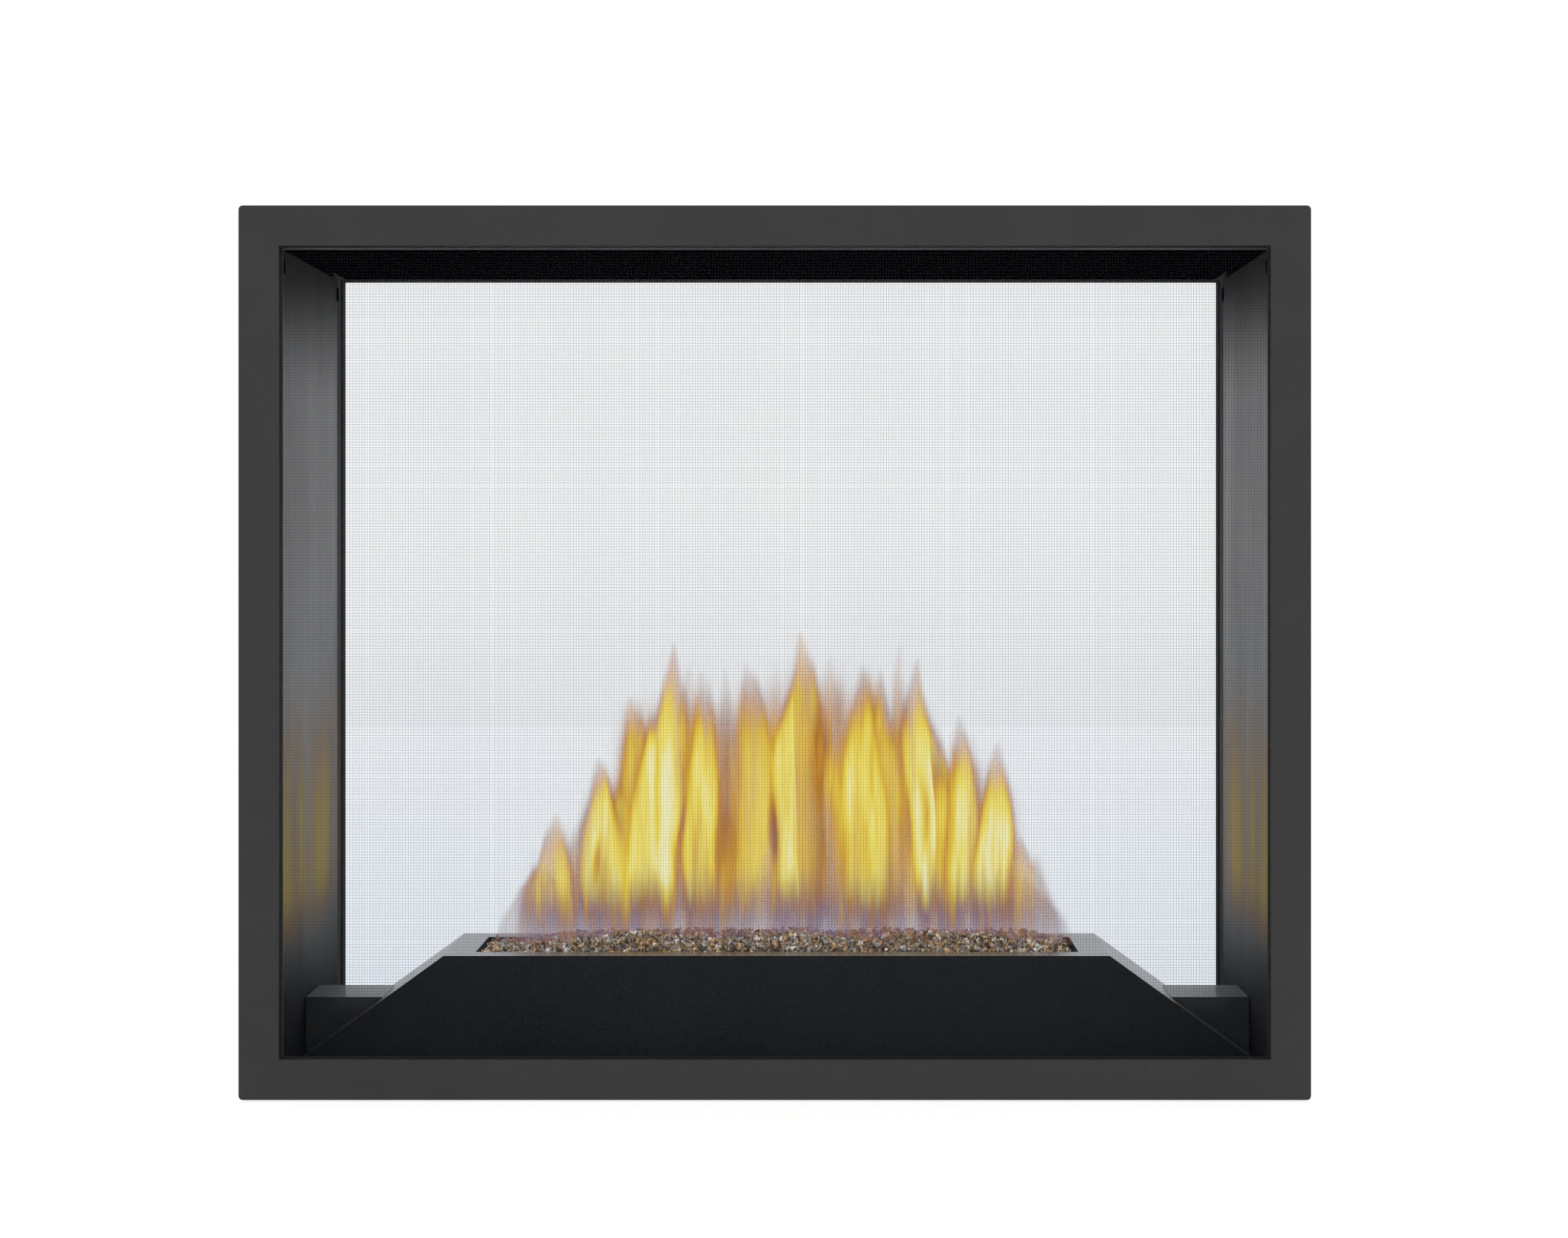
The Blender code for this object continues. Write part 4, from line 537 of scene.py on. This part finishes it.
def dark_mirror(name, ends=None):
    """Black mirror with painted shade at its top and foot, and a dim painted reflection of the fire
    glowing on its sides.

    Its faces toward the two rooms take lighter colours of their own as painted light, where these are
    given.
    """
    material, tree, shader = finish(name, IOR=1.30)
    smear = grain_of(tree, *PANEL_SMEARS)
    dust = grain_of(tree, PANEL_DUST, FINE_DETAIL)
    height = height_of(tree)
    # Painted shade: darker and rougher towards the top and the foot of the panel
    shaded_top = spread(tree, height, 0.0, 1.0, *TOP_PAINTED_SHADE)
    shaded_foot = spread(tree, height, 1.0, 0.0, *FOOT_PAINTED_SHADE)
    painted_shade = maths(tree, "POWER", maths(tree, "MAXIMUM", shaded_top, shaded_foot), PAINTED_SHADE_SHARPNESS)

    # Painted reflection of the fire: streaks that glow through emission on faces looking sideways, between
    # the heights given
    tongue = grain_of(tree, *PAINTED_REFLECTION_TONGUES)
    body = spread(tree, tongue, PAINTED_REFLECTION_DIMMEST, 1.0, *PAINTED_REFLECTION_STREAKS, "SMOOTHSTEP")
    rise = spread(tree, height, 0.0, 1.0, *PAINTED_REFLECTION_START, "SMOOTHSTEP")
    fall = spread(tree, height, 1.0, 0.0, *PAINTED_REFLECTION_END, "SMOOTHSTEP")
    painted_reflection = maths(tree, "MULTIPLY", maths(tree, "MULTIPLY", rise, fall), body)
    painted_reflection = maths(tree, "MULTIPLY", painted_reflection, facing(tree, "X", *PAINTED_REFLECTION_SIDE))

    bare = spread(tree, painted_shade, 1.0, PAINTED_SHADE_LEAVES)
    shown = blended(tree, bare, PANEL_PAINTED_SHADE, ramp_of(tree, smear, PANEL_TONES))
    # Painted light: faces toward the rooms take their own lighter tones, where these are given
    if ends:
        shown = blended(tree, facing(tree, "Y", 0.0, 1.0), shown, toned(tree, smear, ends))
    shade_matt = maths(tree, "MULTIPLY", painted_shade, PAINTED_SHADE_ROUGHNESS)
    matt = maths(tree, "ADD", shade_matt, maths(tree, "MULTIPLY", painted_reflection, PAINTED_REFLECTION_ROUGHNESS))
    coloured(tree, shader, shown, maths(tree, "ADD", uneven(tree, smear, PANEL_ROUGHNESS), matt))
    bumped(tree, shader, dust, PANEL_DUST_DEPTH)
    glowing(tree, shader, ramp_of(tree, painted_reflection, PAINTED_REFLECTION_TONES))
    return material


def clear_pane():
    """Ceramic glass: nearly all light goes straight through, a little blue, with smears in its shine."""
    material, tree, shader = finish("clear_ceramic_glass", IOR=1.45)
    smear = grain_of(tree, *PANE_SMEARS)
    coloured(tree, shader, toned(tree, smear, PANE_TONES), uneven(tree, smear, PANE_ROUGHNESS))
    shine = linked(tree, "ShaderNodeFresnel", {"IOR": PANE_SHINE_IOR}).outputs["Fac"]
    # Less light goes through towards the foot of the pane
    low = spread(tree, height_of(tree), 1.0, 0.0, *PANE_FOOT)
    tint = blended(tree, low, toned(tree, smear, PANE_TINTS), PANE_DARKER_FOOT)
    through = linked(tree, "ShaderNodeBsdfTransparent", {"Color": tint}).outputs[0]
    share = spread(tree, shine, *PANE_SHINE)
    mixed = linked(tree, "ShaderNodeMixShader", {0: share, 1: through, 2: shader.outputs[0]})
    tree.links.new(mixed.outputs[0], tree.nodes["Material Output"].inputs["Surface"])
    return material


def rope():
    """Braided glass-fibre rope."""
    material, tree, shader = finish("braided_fibre_rope", Roughness=0.92, Sheen_Weight=0.3)
    inputs = {"Vector": place_of(tree), **BRAID}
    braid = linked(tree, "ShaderNodeTexWave", inputs, bands_direction="DIAGONAL").outputs["Fac"]
    tree.links.new(ramp_of(tree, braid, BRAID_TONES), shader.inputs["Base Color"])
    bumped(tree, shader, braid, BRAID_DEPTH)
    return material


def ember_glass(name, dark, light, see_through, rough):
    """Broken glass of one tint, clouded where it was crushed, and glowing there with painted light that
    stands for the fire's light on it.
    """
    material, tree, shader = finish(name, Transmission_Weight=see_through, IOR=1.5)
    cloud = grain_of(tree, EMBER_CLOUDS, FINE_DETAIL)
    clear, clouded = EMBER_CLOUD_ENDS
    colour = ramp_of(tree, cloud, [(clear, dark), (clouded, light)])
    coloured(tree, shader, colour, uneven(tree, cloud, rough))
    # Painted light: the clouded parts glow as if lit by the fire
    painted_glow = tuple(part * EMBER_PAINTED_GLOW for part in light)
    glowing(tree, shader, ramp_of(tree, cloud, [(EMBER_PAINTED_GLOW_START, (0, 0, 0)), (clouded, painted_glow)]))
    bumped(tree, shader, grain_of(tree, EMBER_CHIPS, FINE_DETAIL), EMBER_CHIP_DEPTH)
    return material


def flame_finish():
    """Flame: glowing sheets, yellow inside, orange-brown at the edges, violet near the burner.

    The mesh's layer "glow" holds the cover and the heat of each place.
    """
    constants = {"Base_Color": (0, 0, 0, 1), "Roughness": 1.0, "Specular_IOR_Level": 0.0}
    material, tree, shader = finish("gas_flame", **constants)
    glow = linked(tree, "ShaderNodeUVMap", uv_map="glow").outputs["UV"]
    cover_and_heat = linked(tree, "ShaderNodeSeparateXYZ", {"Vector": glow}).outputs
    streak = summed(tree, grain_of(tree, *BROAD_STREAKS), grain_of(tree, *FINE_STREAKS), BROAD_SHARE)
    uneven_streak = maths(tree, "SUBTRACT", streak, STREAK_MIDDLE)

    cover = maths(tree, "MULTIPLY", cover_and_heat["X"], spread(tree, streak, *STREAK_COVER))
    cover = linked(tree, "ShaderNodeClamp", {"Value": cover, "Max": MOST_COVER}).outputs["Result"]
    tree.links.new(cover, shader.inputs["Alpha"])

    push = maths(tree, "MULTIPLY", uneven_streak, FLAME_PUSH)
    heat = maths(tree, "ADD", maths(tree, "MULTIPLY", cover_and_heat["Y"], HEAT_SHARE), push)
    ragged = maths(tree, "ADD", height_of(tree), maths(tree, "MULTIPLY", uneven_streak, FOOT_RAGGED))
    foot, end_of_foot = (FLAME_ROOT + rise for rise in FOOT_RISE)
    near_burner = spread(tree, ragged, 1.0, 0.0, foot, end_of_foot, "SMOOTHSTEP")
    warm = ramp_of(tree, heat, HEAT_TONES)
    shown = blended(tree, near_burner, warm, ramp_of(tree, streak, FOOT_TONES))
    glowing(tree, shader, shown, FLAME_STRENGTH)
    return material


def add_piece(name, mesh, finishes, body):
    """Make a piece from a mesh, with its finishes, riding on a CAD body."""
    piece = bpy.data.objects.new(name, mesh)
    bpy.context.scene.collection.objects.link(piece)
    for material in finishes:
        mesh.materials.append(material)
    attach(piece, body)
    return piece


def wire_run(start, end):
    """Corners and faces of one straight wire."""
    up = Vector((0, 1, 0))
    side = (end - start).normalized().cross(up).normalized()
    corners = []
    for place in (start, end):
        for index in range(WIRE_SIDES):
            angle = math.tau * index / WIRE_SIDES
            aside = side * (WIRE_RADIUS * math.cos(angle))
            corners.append(place + aside + up * (WIRE_RADIUS * math.sin(angle)))
    faces = []
    for index in range(WIRE_SIDES):
        following = (index + 1) % WIRE_SIDES
        faces.append((index, following, WIRE_SIDES + following, WIRE_SIDES + index))
    faces.append(tuple(reversed(range(WIRE_SIDES))))
    faces.append(tuple(range(WIRE_SIDES, 2 * WIRE_SIDES)))
    return corners, faces


def woven_screen(name, node, body, material):
    """Fine wire cloth in place of the CAD's coarse net: uprights on one side, level wires on the other."""
    low, high = (Vector(corner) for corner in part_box(node))
    middle = (low.y + high.y) / 2
    columns = round((high.x - low.x) / WIRE_PITCH)
    rows = round((high.z - low.z) / WIRE_PITCH)
    runs = []
    for index in range(columns):
        x = low.x + (high.x - low.x) * (index + 0.5) / columns
        y = middle + WIRE_RADIUS
        runs.append((Vector((x, y, low.z)), Vector((x, y, high.z))))
    for index in range(rows):
        z = low.z + (high.z - low.z) * (index + 0.5) / rows
        y = middle - WIRE_RADIUS
        runs.append((Vector((low.x, y, z)), Vector((high.x, y, z))))
    corners, faces = [], []
    for start, end in runs:
        points, sides = wire_run(start, end)
        base = len(corners)
        corners += points
        faces += [tuple(base + index for index in side) for side in sides]
    mesh = bpy.data.meshes.new(name)
    mesh.from_pydata(corners, [], faces)
    mesh.shade_smooth()
    piece = add_piece(name, mesh, [material], body)
    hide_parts(node)


def broken_shape(chance):
    """Corners and faces of one broken piece of glass, about one unit in radius."""
    form = bmesh.new()
    flatness = chance.uniform(*EMBER_FLATNESS)
    for _ in range(EMBER_CORNERS):
        direction = Vector((chance.gauss(0, 1), chance.gauss(0, 1), chance.gauss(0, 1))).normalized()
        reach = chance.uniform(*EMBER_REACH)
        x, y, z = (part * reach for part in direction)
        form.verts.new((x, y * flatness, z * flatness))
    hull = bmesh.ops.convex_hull(form, input=form.verts)
    loose = [item for item in hull["geom_interior"] if isinstance(item, bmesh.types.BMVert)]
    bmesh.ops.delete(form, geom=loose, context="VERTS")
    form.verts.index_update()
    points = [point.co.copy() for point in form.verts]
    faces = [tuple(point.index for point in face.verts) for face in form.faces]
    form.free()
    return points, faces


def heap_edge(high):
    """Height of the heap at the rim of the tray."""
    return high.z - EMBER_EDGE_DROP - EMBER_CROWN


def bed_height(x, y, low, high):
    """Height of the heap's surface over the tray, from the box of the CAD bed."""
    across = (2 * x - low.x - high.x) / (high.x - low.x)
    along = (2 * y - low.y - high.y) / (high.y - low.y)
    crown = max(0, 1 - abs(across) ** 8) * max(0, 1 - abs(along) ** 4)
    place = Vector((x * EMBER_SWELL_SCALE, y * EMBER_SWELL_SCALE, 0))
    swell = noise.noise(place) * EMBER_SWELL
    return heap_edge(high) + EMBER_CROWN * crown * (1 + swell)


def random_turn(chance):
    turn = Matrix.Rotation(chance.uniform(0, math.tau), 3, "X")
    turn = turn @ Matrix.Rotation(chance.uniform(0, math.tau), 3, "Y")
    return turn @ Matrix.Rotation(chance.uniform(0, math.tau), 3, "Z")


def ember_pieces(finishes, low, high, columns, rows):
    """Crushed glass heaped in the tray in layers, which spreads past the CAD bed at the left."""
    chance = random.Random(EMBER_SEED)
    shapes = [broken_shape(chance) for _ in range(EMBER_SHAPES)]
    shares = [tint[1] for tint in EMBER_TINTS]
    corners, faces, tints = [], [], []
    left = low.x - EMBER_LEFT_SPREAD
    for layer in range(EMBER_LAYERS):
        sunk = layer * EMBER_LAYER_STEP
        for column in range(columns):
            for row in range(rows):
                x = left + EMBER_PITCH * (column + chance.random())
                y = low.y + EMBER_PITCH * (row + chance.random())
                size = chance.uniform(*EMBER_RADIUS)
                x = min(max(x, left + size), high.x - size)
                y = min(max(y, low.y + size), high.y - size)
                turn = random_turn(chance)
                z = bed_height(x, y, low, high) - sunk + chance.uniform(*EMBER_LIFT)
                if x < low.x:
                    z = heap_edge(high) - sunk + chance.uniform(*EMBER_LEFT_LIFT)
                place = Vector((x, y, z))
                points, sides = shapes[chance.randrange(EMBER_SHAPES)]
                base = len(corners)
                corners += [place + turn @ point * size for point in points]
                tint = chance.choices(range(len(EMBER_TINTS)), shares)[0]
                for side in sides:
                    faces.append(tuple(base + index for index in side))
                    tints.append(tint)
    mesh = bpy.data.meshes.new("ember_pieces")
    mesh.from_pydata(corners, [], faces)
    mesh.polygons.foreach_set("material_index", tints)
    embers = add_piece("ember_pieces", mesh, finishes, "cabinet")
    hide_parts("glass_embers")


def cell_ring(column, row):
    """The four corners of a cell of a grid, in turn."""
    return (column, row), (column + 1, row), (column + 1, row + 1), (column, row + 1)


def ember_bed(material, low, high, columns, rows):
    """Closed bed that fills the gaps between the pieces: the heap's surface, a skirt and a flat bottom."""

    def corner_at(column, row):
        return row * (columns + 1) + column

    corners, faces = [], []
    for row in range(rows + 1):
        for column in range(columns + 1):
            x = low.x + (high.x - low.x) * column / columns
            y = low.y + (high.y - low.y) * row / rows
            corners.append((x, y, bed_height(x, y, low, high) - EMBER_BED_DROP))
    for row in range(rows):
        for column in range(columns):
            faces.append(tuple(corner_at(*place) for place in cell_ring(column, row)))
    rim = [corner_at(column, 0) for column in range(columns)]
    rim += [corner_at(columns, row) for row in range(rows)]
    rim += [corner_at(column, rows) for column in range(columns, 0, -1)]
    rim += [corner_at(0, row) for row in range(rows, 0, -1)]
    base = len(corners)
    corners += [(*corners[index][:2], low.z) for index in rim]
    for index in range(len(rim)):
        following = (index + 1) % len(rim)
        faces.append((rim[following], rim[index], base + index, base + following))
    faces.append(tuple(base + index for index in reversed(range(len(rim)))))
    mesh = bpy.data.meshes.new("ember_bed")
    mesh.from_pydata(corners, [], faces)
    bed = add_piece("ember_bed", mesh, [material], "cabinet")


def glass_embers(bed_finish):
    low, high = (Vector(corner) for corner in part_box("glass_embers"))
    columns = int((high.x - (low.x - EMBER_LEFT_SPREAD)) / EMBER_PITCH)
    rows = int((high.y - low.y) / EMBER_PITCH)
    finishes = [ember_glass(name, *looks) for name, _share, *looks in EMBER_TINTS]
    ember_pieces(finishes, low, high, columns, rows)
    ember_bed(bed_finish, low, high, columns // 2, rows // 2)


def eased(value, low, high):
    """Zero below a range, one above it, and smooth between."""
    share = min(max((value - low) / (high - low), 0.0), 1.0)
    return share * share * (3 - 2 * share)


def drift(x, z, seed, waves):
    """Sum of the noises in a table, at a place of a curtain."""
    total = 0.0
    for across, up, step, size in waves:
        total += noise.noise(Vector((x * across, z * up, seed + step))) * size
    return total


def tongue_width(rise, widest):
    """Share of a tongue's width at a height: a broad foot, a swell where it is widest, and a fine tip."""
    if rise < widest:
        return TONGUE_FOOT + (1 - TONGUE_FOOT) * math.sin(rise / widest * math.pi / 2)
    return max(0.0, math.cos((rise - widest) / (1 - widest) * math.pi / 2)) ** TONGUE_TIP


def faded(rise, fade):
    """What is left of a tongue at a share of its rise."""
    start, end, loss = fade
    return 1 - loss * eased(rise, start, end)


def tongue_at(tongue, x, z):
    """Cover and heat that one tongue gives to a place on its curtain."""
    foot, tip, top, half, widest, cover, heat = tongue
    rise = max(0.0, (z - FLAME_ROOT) / (top - FLAME_ROOT))
    if rise >= 1:
        return 0.0, 0.0
    middle = foot + (tip - foot) * rise ** TONGUE_LEAN
    inside = half * tongue_width(rise, widest) - abs(x - middle)
    body = eased(inside, -TONGUE_EDGE, TONGUE_EDGE) * faded(rise, BODY_FADE)
    core = eased(inside, -TONGUE_EDGE, min(TONGUE_CORE, half)) * faded(rise, CORE_FADE)
    scale, seed = CORE_START_NOISE
    sink = noise.noise(Vector((foot * scale, seed, 0))) * CORE_START_SPREAD
    core *= eased(z, FLAME_ROOT + CORE_START[0] + sink, FLAME_ROOT + CORE_START[1] + sink)
    return cover * body, heat * core * body


def veil_at(veil, x, z):
    """Cover and heat that one veil gives to a place on a curtain."""
    middle, top, half, cover, heat = veil
    body = eased(half - abs(x - middle), -VEIL_EDGE, VEIL_EDGE) * (1 - eased(z, top - VEIL_FADE, top))
    return cover * body, heat * body


def flame_at(tongues, veil_share, x, z, seed):
    """Cover and heat of a curtain at a place, with the wander that the gas gives it."""
    wander = drift(x, z, seed, WANDER)
    level = z - drift(x, z, seed, LICK) * eased(z, FLAME_ROOT, FLAME_ROOT + LICK_START)
    bare, heat = 1.0, 0.0
    for tongue in tongues:
        swung = x + wander * eased(z, FLAME_ROOT, FLAME_ROOT + WANDER_START)
        cover, glow = tongue_at(tongue, swung, level)
        bare *= 1 - cover
        heat = max(heat, glow)
    for veil in VEILS:
        cover, glow = veil_at(veil, x + wander, level)
        bare *= 1 - cover * veil_share
        heat = max(heat, glow)
    for middle, centre, half, reach, loss in HOLLOWS:
        apart = math.hypot((x + wander - middle) / half, (z - centre) / reach)
        heat *= 1 - loss * (1 - eased(apart, *HOLLOW_RIM))
    thin = THIN_FOOT + (1 - THIN_FOOT) * eased(z, FLAME_ROOT, FLAME_ROOT + THIN_FOOT_RISE)
    return (1 - bare) * thin, heat


def flame_curtain(form, glow, curtain):
    """A sheet of flame that winds to front and rear over the burner, kept only where there is flame."""
    tongues, veil_share, depth, swing, swing_length, shift, seed = curtain
    left, right = FLAME_SIDES
    columns = round((right - left) / FLAME_COLUMN)
    rows = round((FLAME_TOP - FLAME_ROOT) / FLAME_ROW)
    grid = []
    for column in range(columns + 1):
        x = left + (right - left) * column / columns
        line = []
        for row in range(rows + 1):
            z = FLAME_ROOT + (FLAME_TOP - FLAME_ROOT) * row / rows
            cover, heat = flame_at(tongues, veil_share, x, z, seed)
            sway = drift(x, z, seed, SWAY)
            y = depth + swing * math.sin(math.tau * (x / swing_length + shift)) + sway
            line.append((Vector((x, y, z)), cover, heat))
        grid.append(line)
    made = {}
    for column in range(columns):
        for row in range(rows):
            keys = cell_ring(column, row)
            ring = [grid[across][up] for across, up in keys]
            if max(cover for _place, cover, _heat in ring) < LEAST_COVER:
                continue
            for key, (place, _cover, _heat) in zip(keys, ring):
                if key not in made:
                    made[key] = form.verts.new(place)
            face = form.faces.new([made[key] for key in keys])
            for loop, (_place, cover, heat) in zip(face.loops, ring):
                loop[glow].uv = (cover, heat)


def flames(material):
    form = bmesh.new()
    glow = form.loops.layers.uv.new("glow")
    for curtain in CURTAINS:
        flame_curtain(form, glow, curtain)
    mesh = bpy.data.meshes.new("flames")
    form.to_mesh(mesh)
    form.free()
    mesh.shade_smooth()
    piece = add_piece("flames", mesh, [material], "cabinet")


def give(node, material):
    for slot in frame["nodes"][node].material_slots:
        slot.material = material


def dress_nodes():
    """Give each CAD node the finish of its material slot, and pieces near the fire their own finish."""
    finishes = {
        "powder_coat": powder_coat(),
        "screen_wire": wire_finish(),
        "matt_black": matt_black(),
        "satin_enamel": black_enamel("satin_ledge_enamel", LEDGE_TOP_PAINTED_LIGHT, LEDGE_ROUGHNESS),
        "galvanised": galvanised(),
        "bright_steel": bright_steel(),
        "reflective_glass": dark_mirror("black_reflective_glass"),
        "clear_glass": clear_pane(),
        "rope": rope(),
    }
    for slot, *looks in PLAIN_FINISHES:
        finishes[slot] = mottled(*looks)
    for entry in frame["record"]["subparts"]:
        give(entry["node"], finishes[entry["material_slot"]])
    for nodes, material in (
        (PAINTED_SHADE_NODES, painted_shade_black()),
        (LINING_NODES, dark_mirror("satin_black_lining", LINING_PAINTED_LIGHT_TONES)),
        (("burner_housing_top",), black_enamel("gloss_top_enamel", HOUSING_TOP_PAINTED_LIGHT, HOUSING_ROUGHNESS)),
    ):
        for node in nodes:
            give(node, material)
    return finishes


def seen_directly(tree):
    """One for rays that show the surroundings to the camera, straight, mirrored or through glass."""
    path = linked(tree, "ShaderNodeLightPath")
    direct = maths(tree, "MAXIMUM", path.outputs["Is Camera Ray"], path.outputs["Is Glossy Ray"])
    return maths(tree, "MAXIMUM", direct, path.outputs["Is Transmission Ray"])


def build_floor():
    """Pale floor that looks white and still takes the object's shadow."""
    mesh = bpy.data.meshes.new("studio_floor")
    half = FLOOR_HALF
    corners = [(-half, -half, 0), (half, -half, 0), (half, half, 0), (-half, half, 0)]
    mesh.from_pydata(corners, [], [(0, 1, 2, 3)])
    floor = bpy.data.objects.new("studio_floor", mesh)
    bpy.context.scene.collection.objects.link(floor)
    material = bpy.data.materials.new("pale_studio_floor")
    material.use_nodes = True
    tree = material.node_tree
    tree.nodes.clear()
    plain = linked(tree, "ShaderNodeBsdfDiffuse", {"Color": FLOOR_COLOUR}).outputs[0]
    shade = linked(tree, "ShaderNodeBsdfDiffuse", {"Color": FLOOR_SHADE}).outputs[0]
    glow = linked(tree, "ShaderNodeEmission", {"Color": (1, 1, 1, 1), "Strength": FLOOR_GLOW}).outputs[0]
    bright = linked(tree, "ShaderNodeAddShader", {0: shade, 1: glow}).outputs[0]
    shown = linked(tree, "ShaderNodeMixShader", {0: seen_directly(tree), 1: plain, 2: bright}).outputs[0]
    linked(tree, "ShaderNodeOutputMaterial", {"Surface": shown})
    mesh.materials.append(material)


def build_world():
    world = bpy.data.worlds.new("studio")
    world.use_nodes = True
    tree = world.node_tree
    tree.nodes.clear()
    level = spread(tree, seen_directly(tree), WORLD_LEVEL, 1.0)
    sky = linked(tree, "ShaderNodeBackground", {"Color": (1, 1, 1, 1), "Strength": level})
    linked(tree, "ShaderNodeOutputWorld", {"Surface": sky.outputs[0]})
    bpy.context.scene.world = world


def build_lamps():
    """Four soft lamps above the corners of the cabinet, so that both rooms' sides are lit alike."""
    for name, x, y in (
        ("front_left_lamp", -LAMP_SPREAD, -LAMP_DISTANCE),
        ("front_right_lamp", LAMP_SPREAD, -LAMP_DISTANCE),
        ("rear_left_lamp", -LAMP_SPREAD, LAMP_DISTANCE),
        ("rear_right_lamp", LAMP_SPREAD, LAMP_DISTANCE),
    ):
        light = bpy.data.lights.new(name, "AREA")
        light.size = LAMP_SIZE
        light.energy = LAMP_POWER
        lamp = bpy.data.objects.new(name, light)
        lamp.location = (x, y, LAMP_HEIGHT)
        aim = Vector(LAMP_AIM) - lamp.location
        lamp.rotation_euler = aim.to_track_quat("-Z", "Y").to_euler()
        bpy.context.scene.collection.objects.link(lamp)


def build_camera():
    data = bpy.data.cameras.new("camera")
    data.lens = CAMERA_LENS
    data.shift_x, data.shift_y = CAMERA_SHIFT
    camera = bpy.data.objects.new("camera", data)
    camera.location = CAMERA_PLACE
    camera.rotation_euler = CAMERA_TURN
    bpy.context.scene.collection.objects.link(camera)
    bpy.context.scene.camera = camera


def main():
    scene = bpy.context.scene
    scene.view_settings.view_transform = "Standard"
    scene.cycles.transparent_max_bounces = MOST_SEE_THROUGH_FACES
    build_camera()
    build_world()
    build_lamps()
    build_floor()
    finishes = dress_nodes()
    woven_screen("front_wire_cloth", "front_screen", "front_face", finishes["screen_wire"])
    woven_screen("rear_wire_cloth", "rear_screen", "rear_face", finishes["screen_wire"])
    glass_embers(finishes["ember_glass"])
    flames(flame_finish())


main()
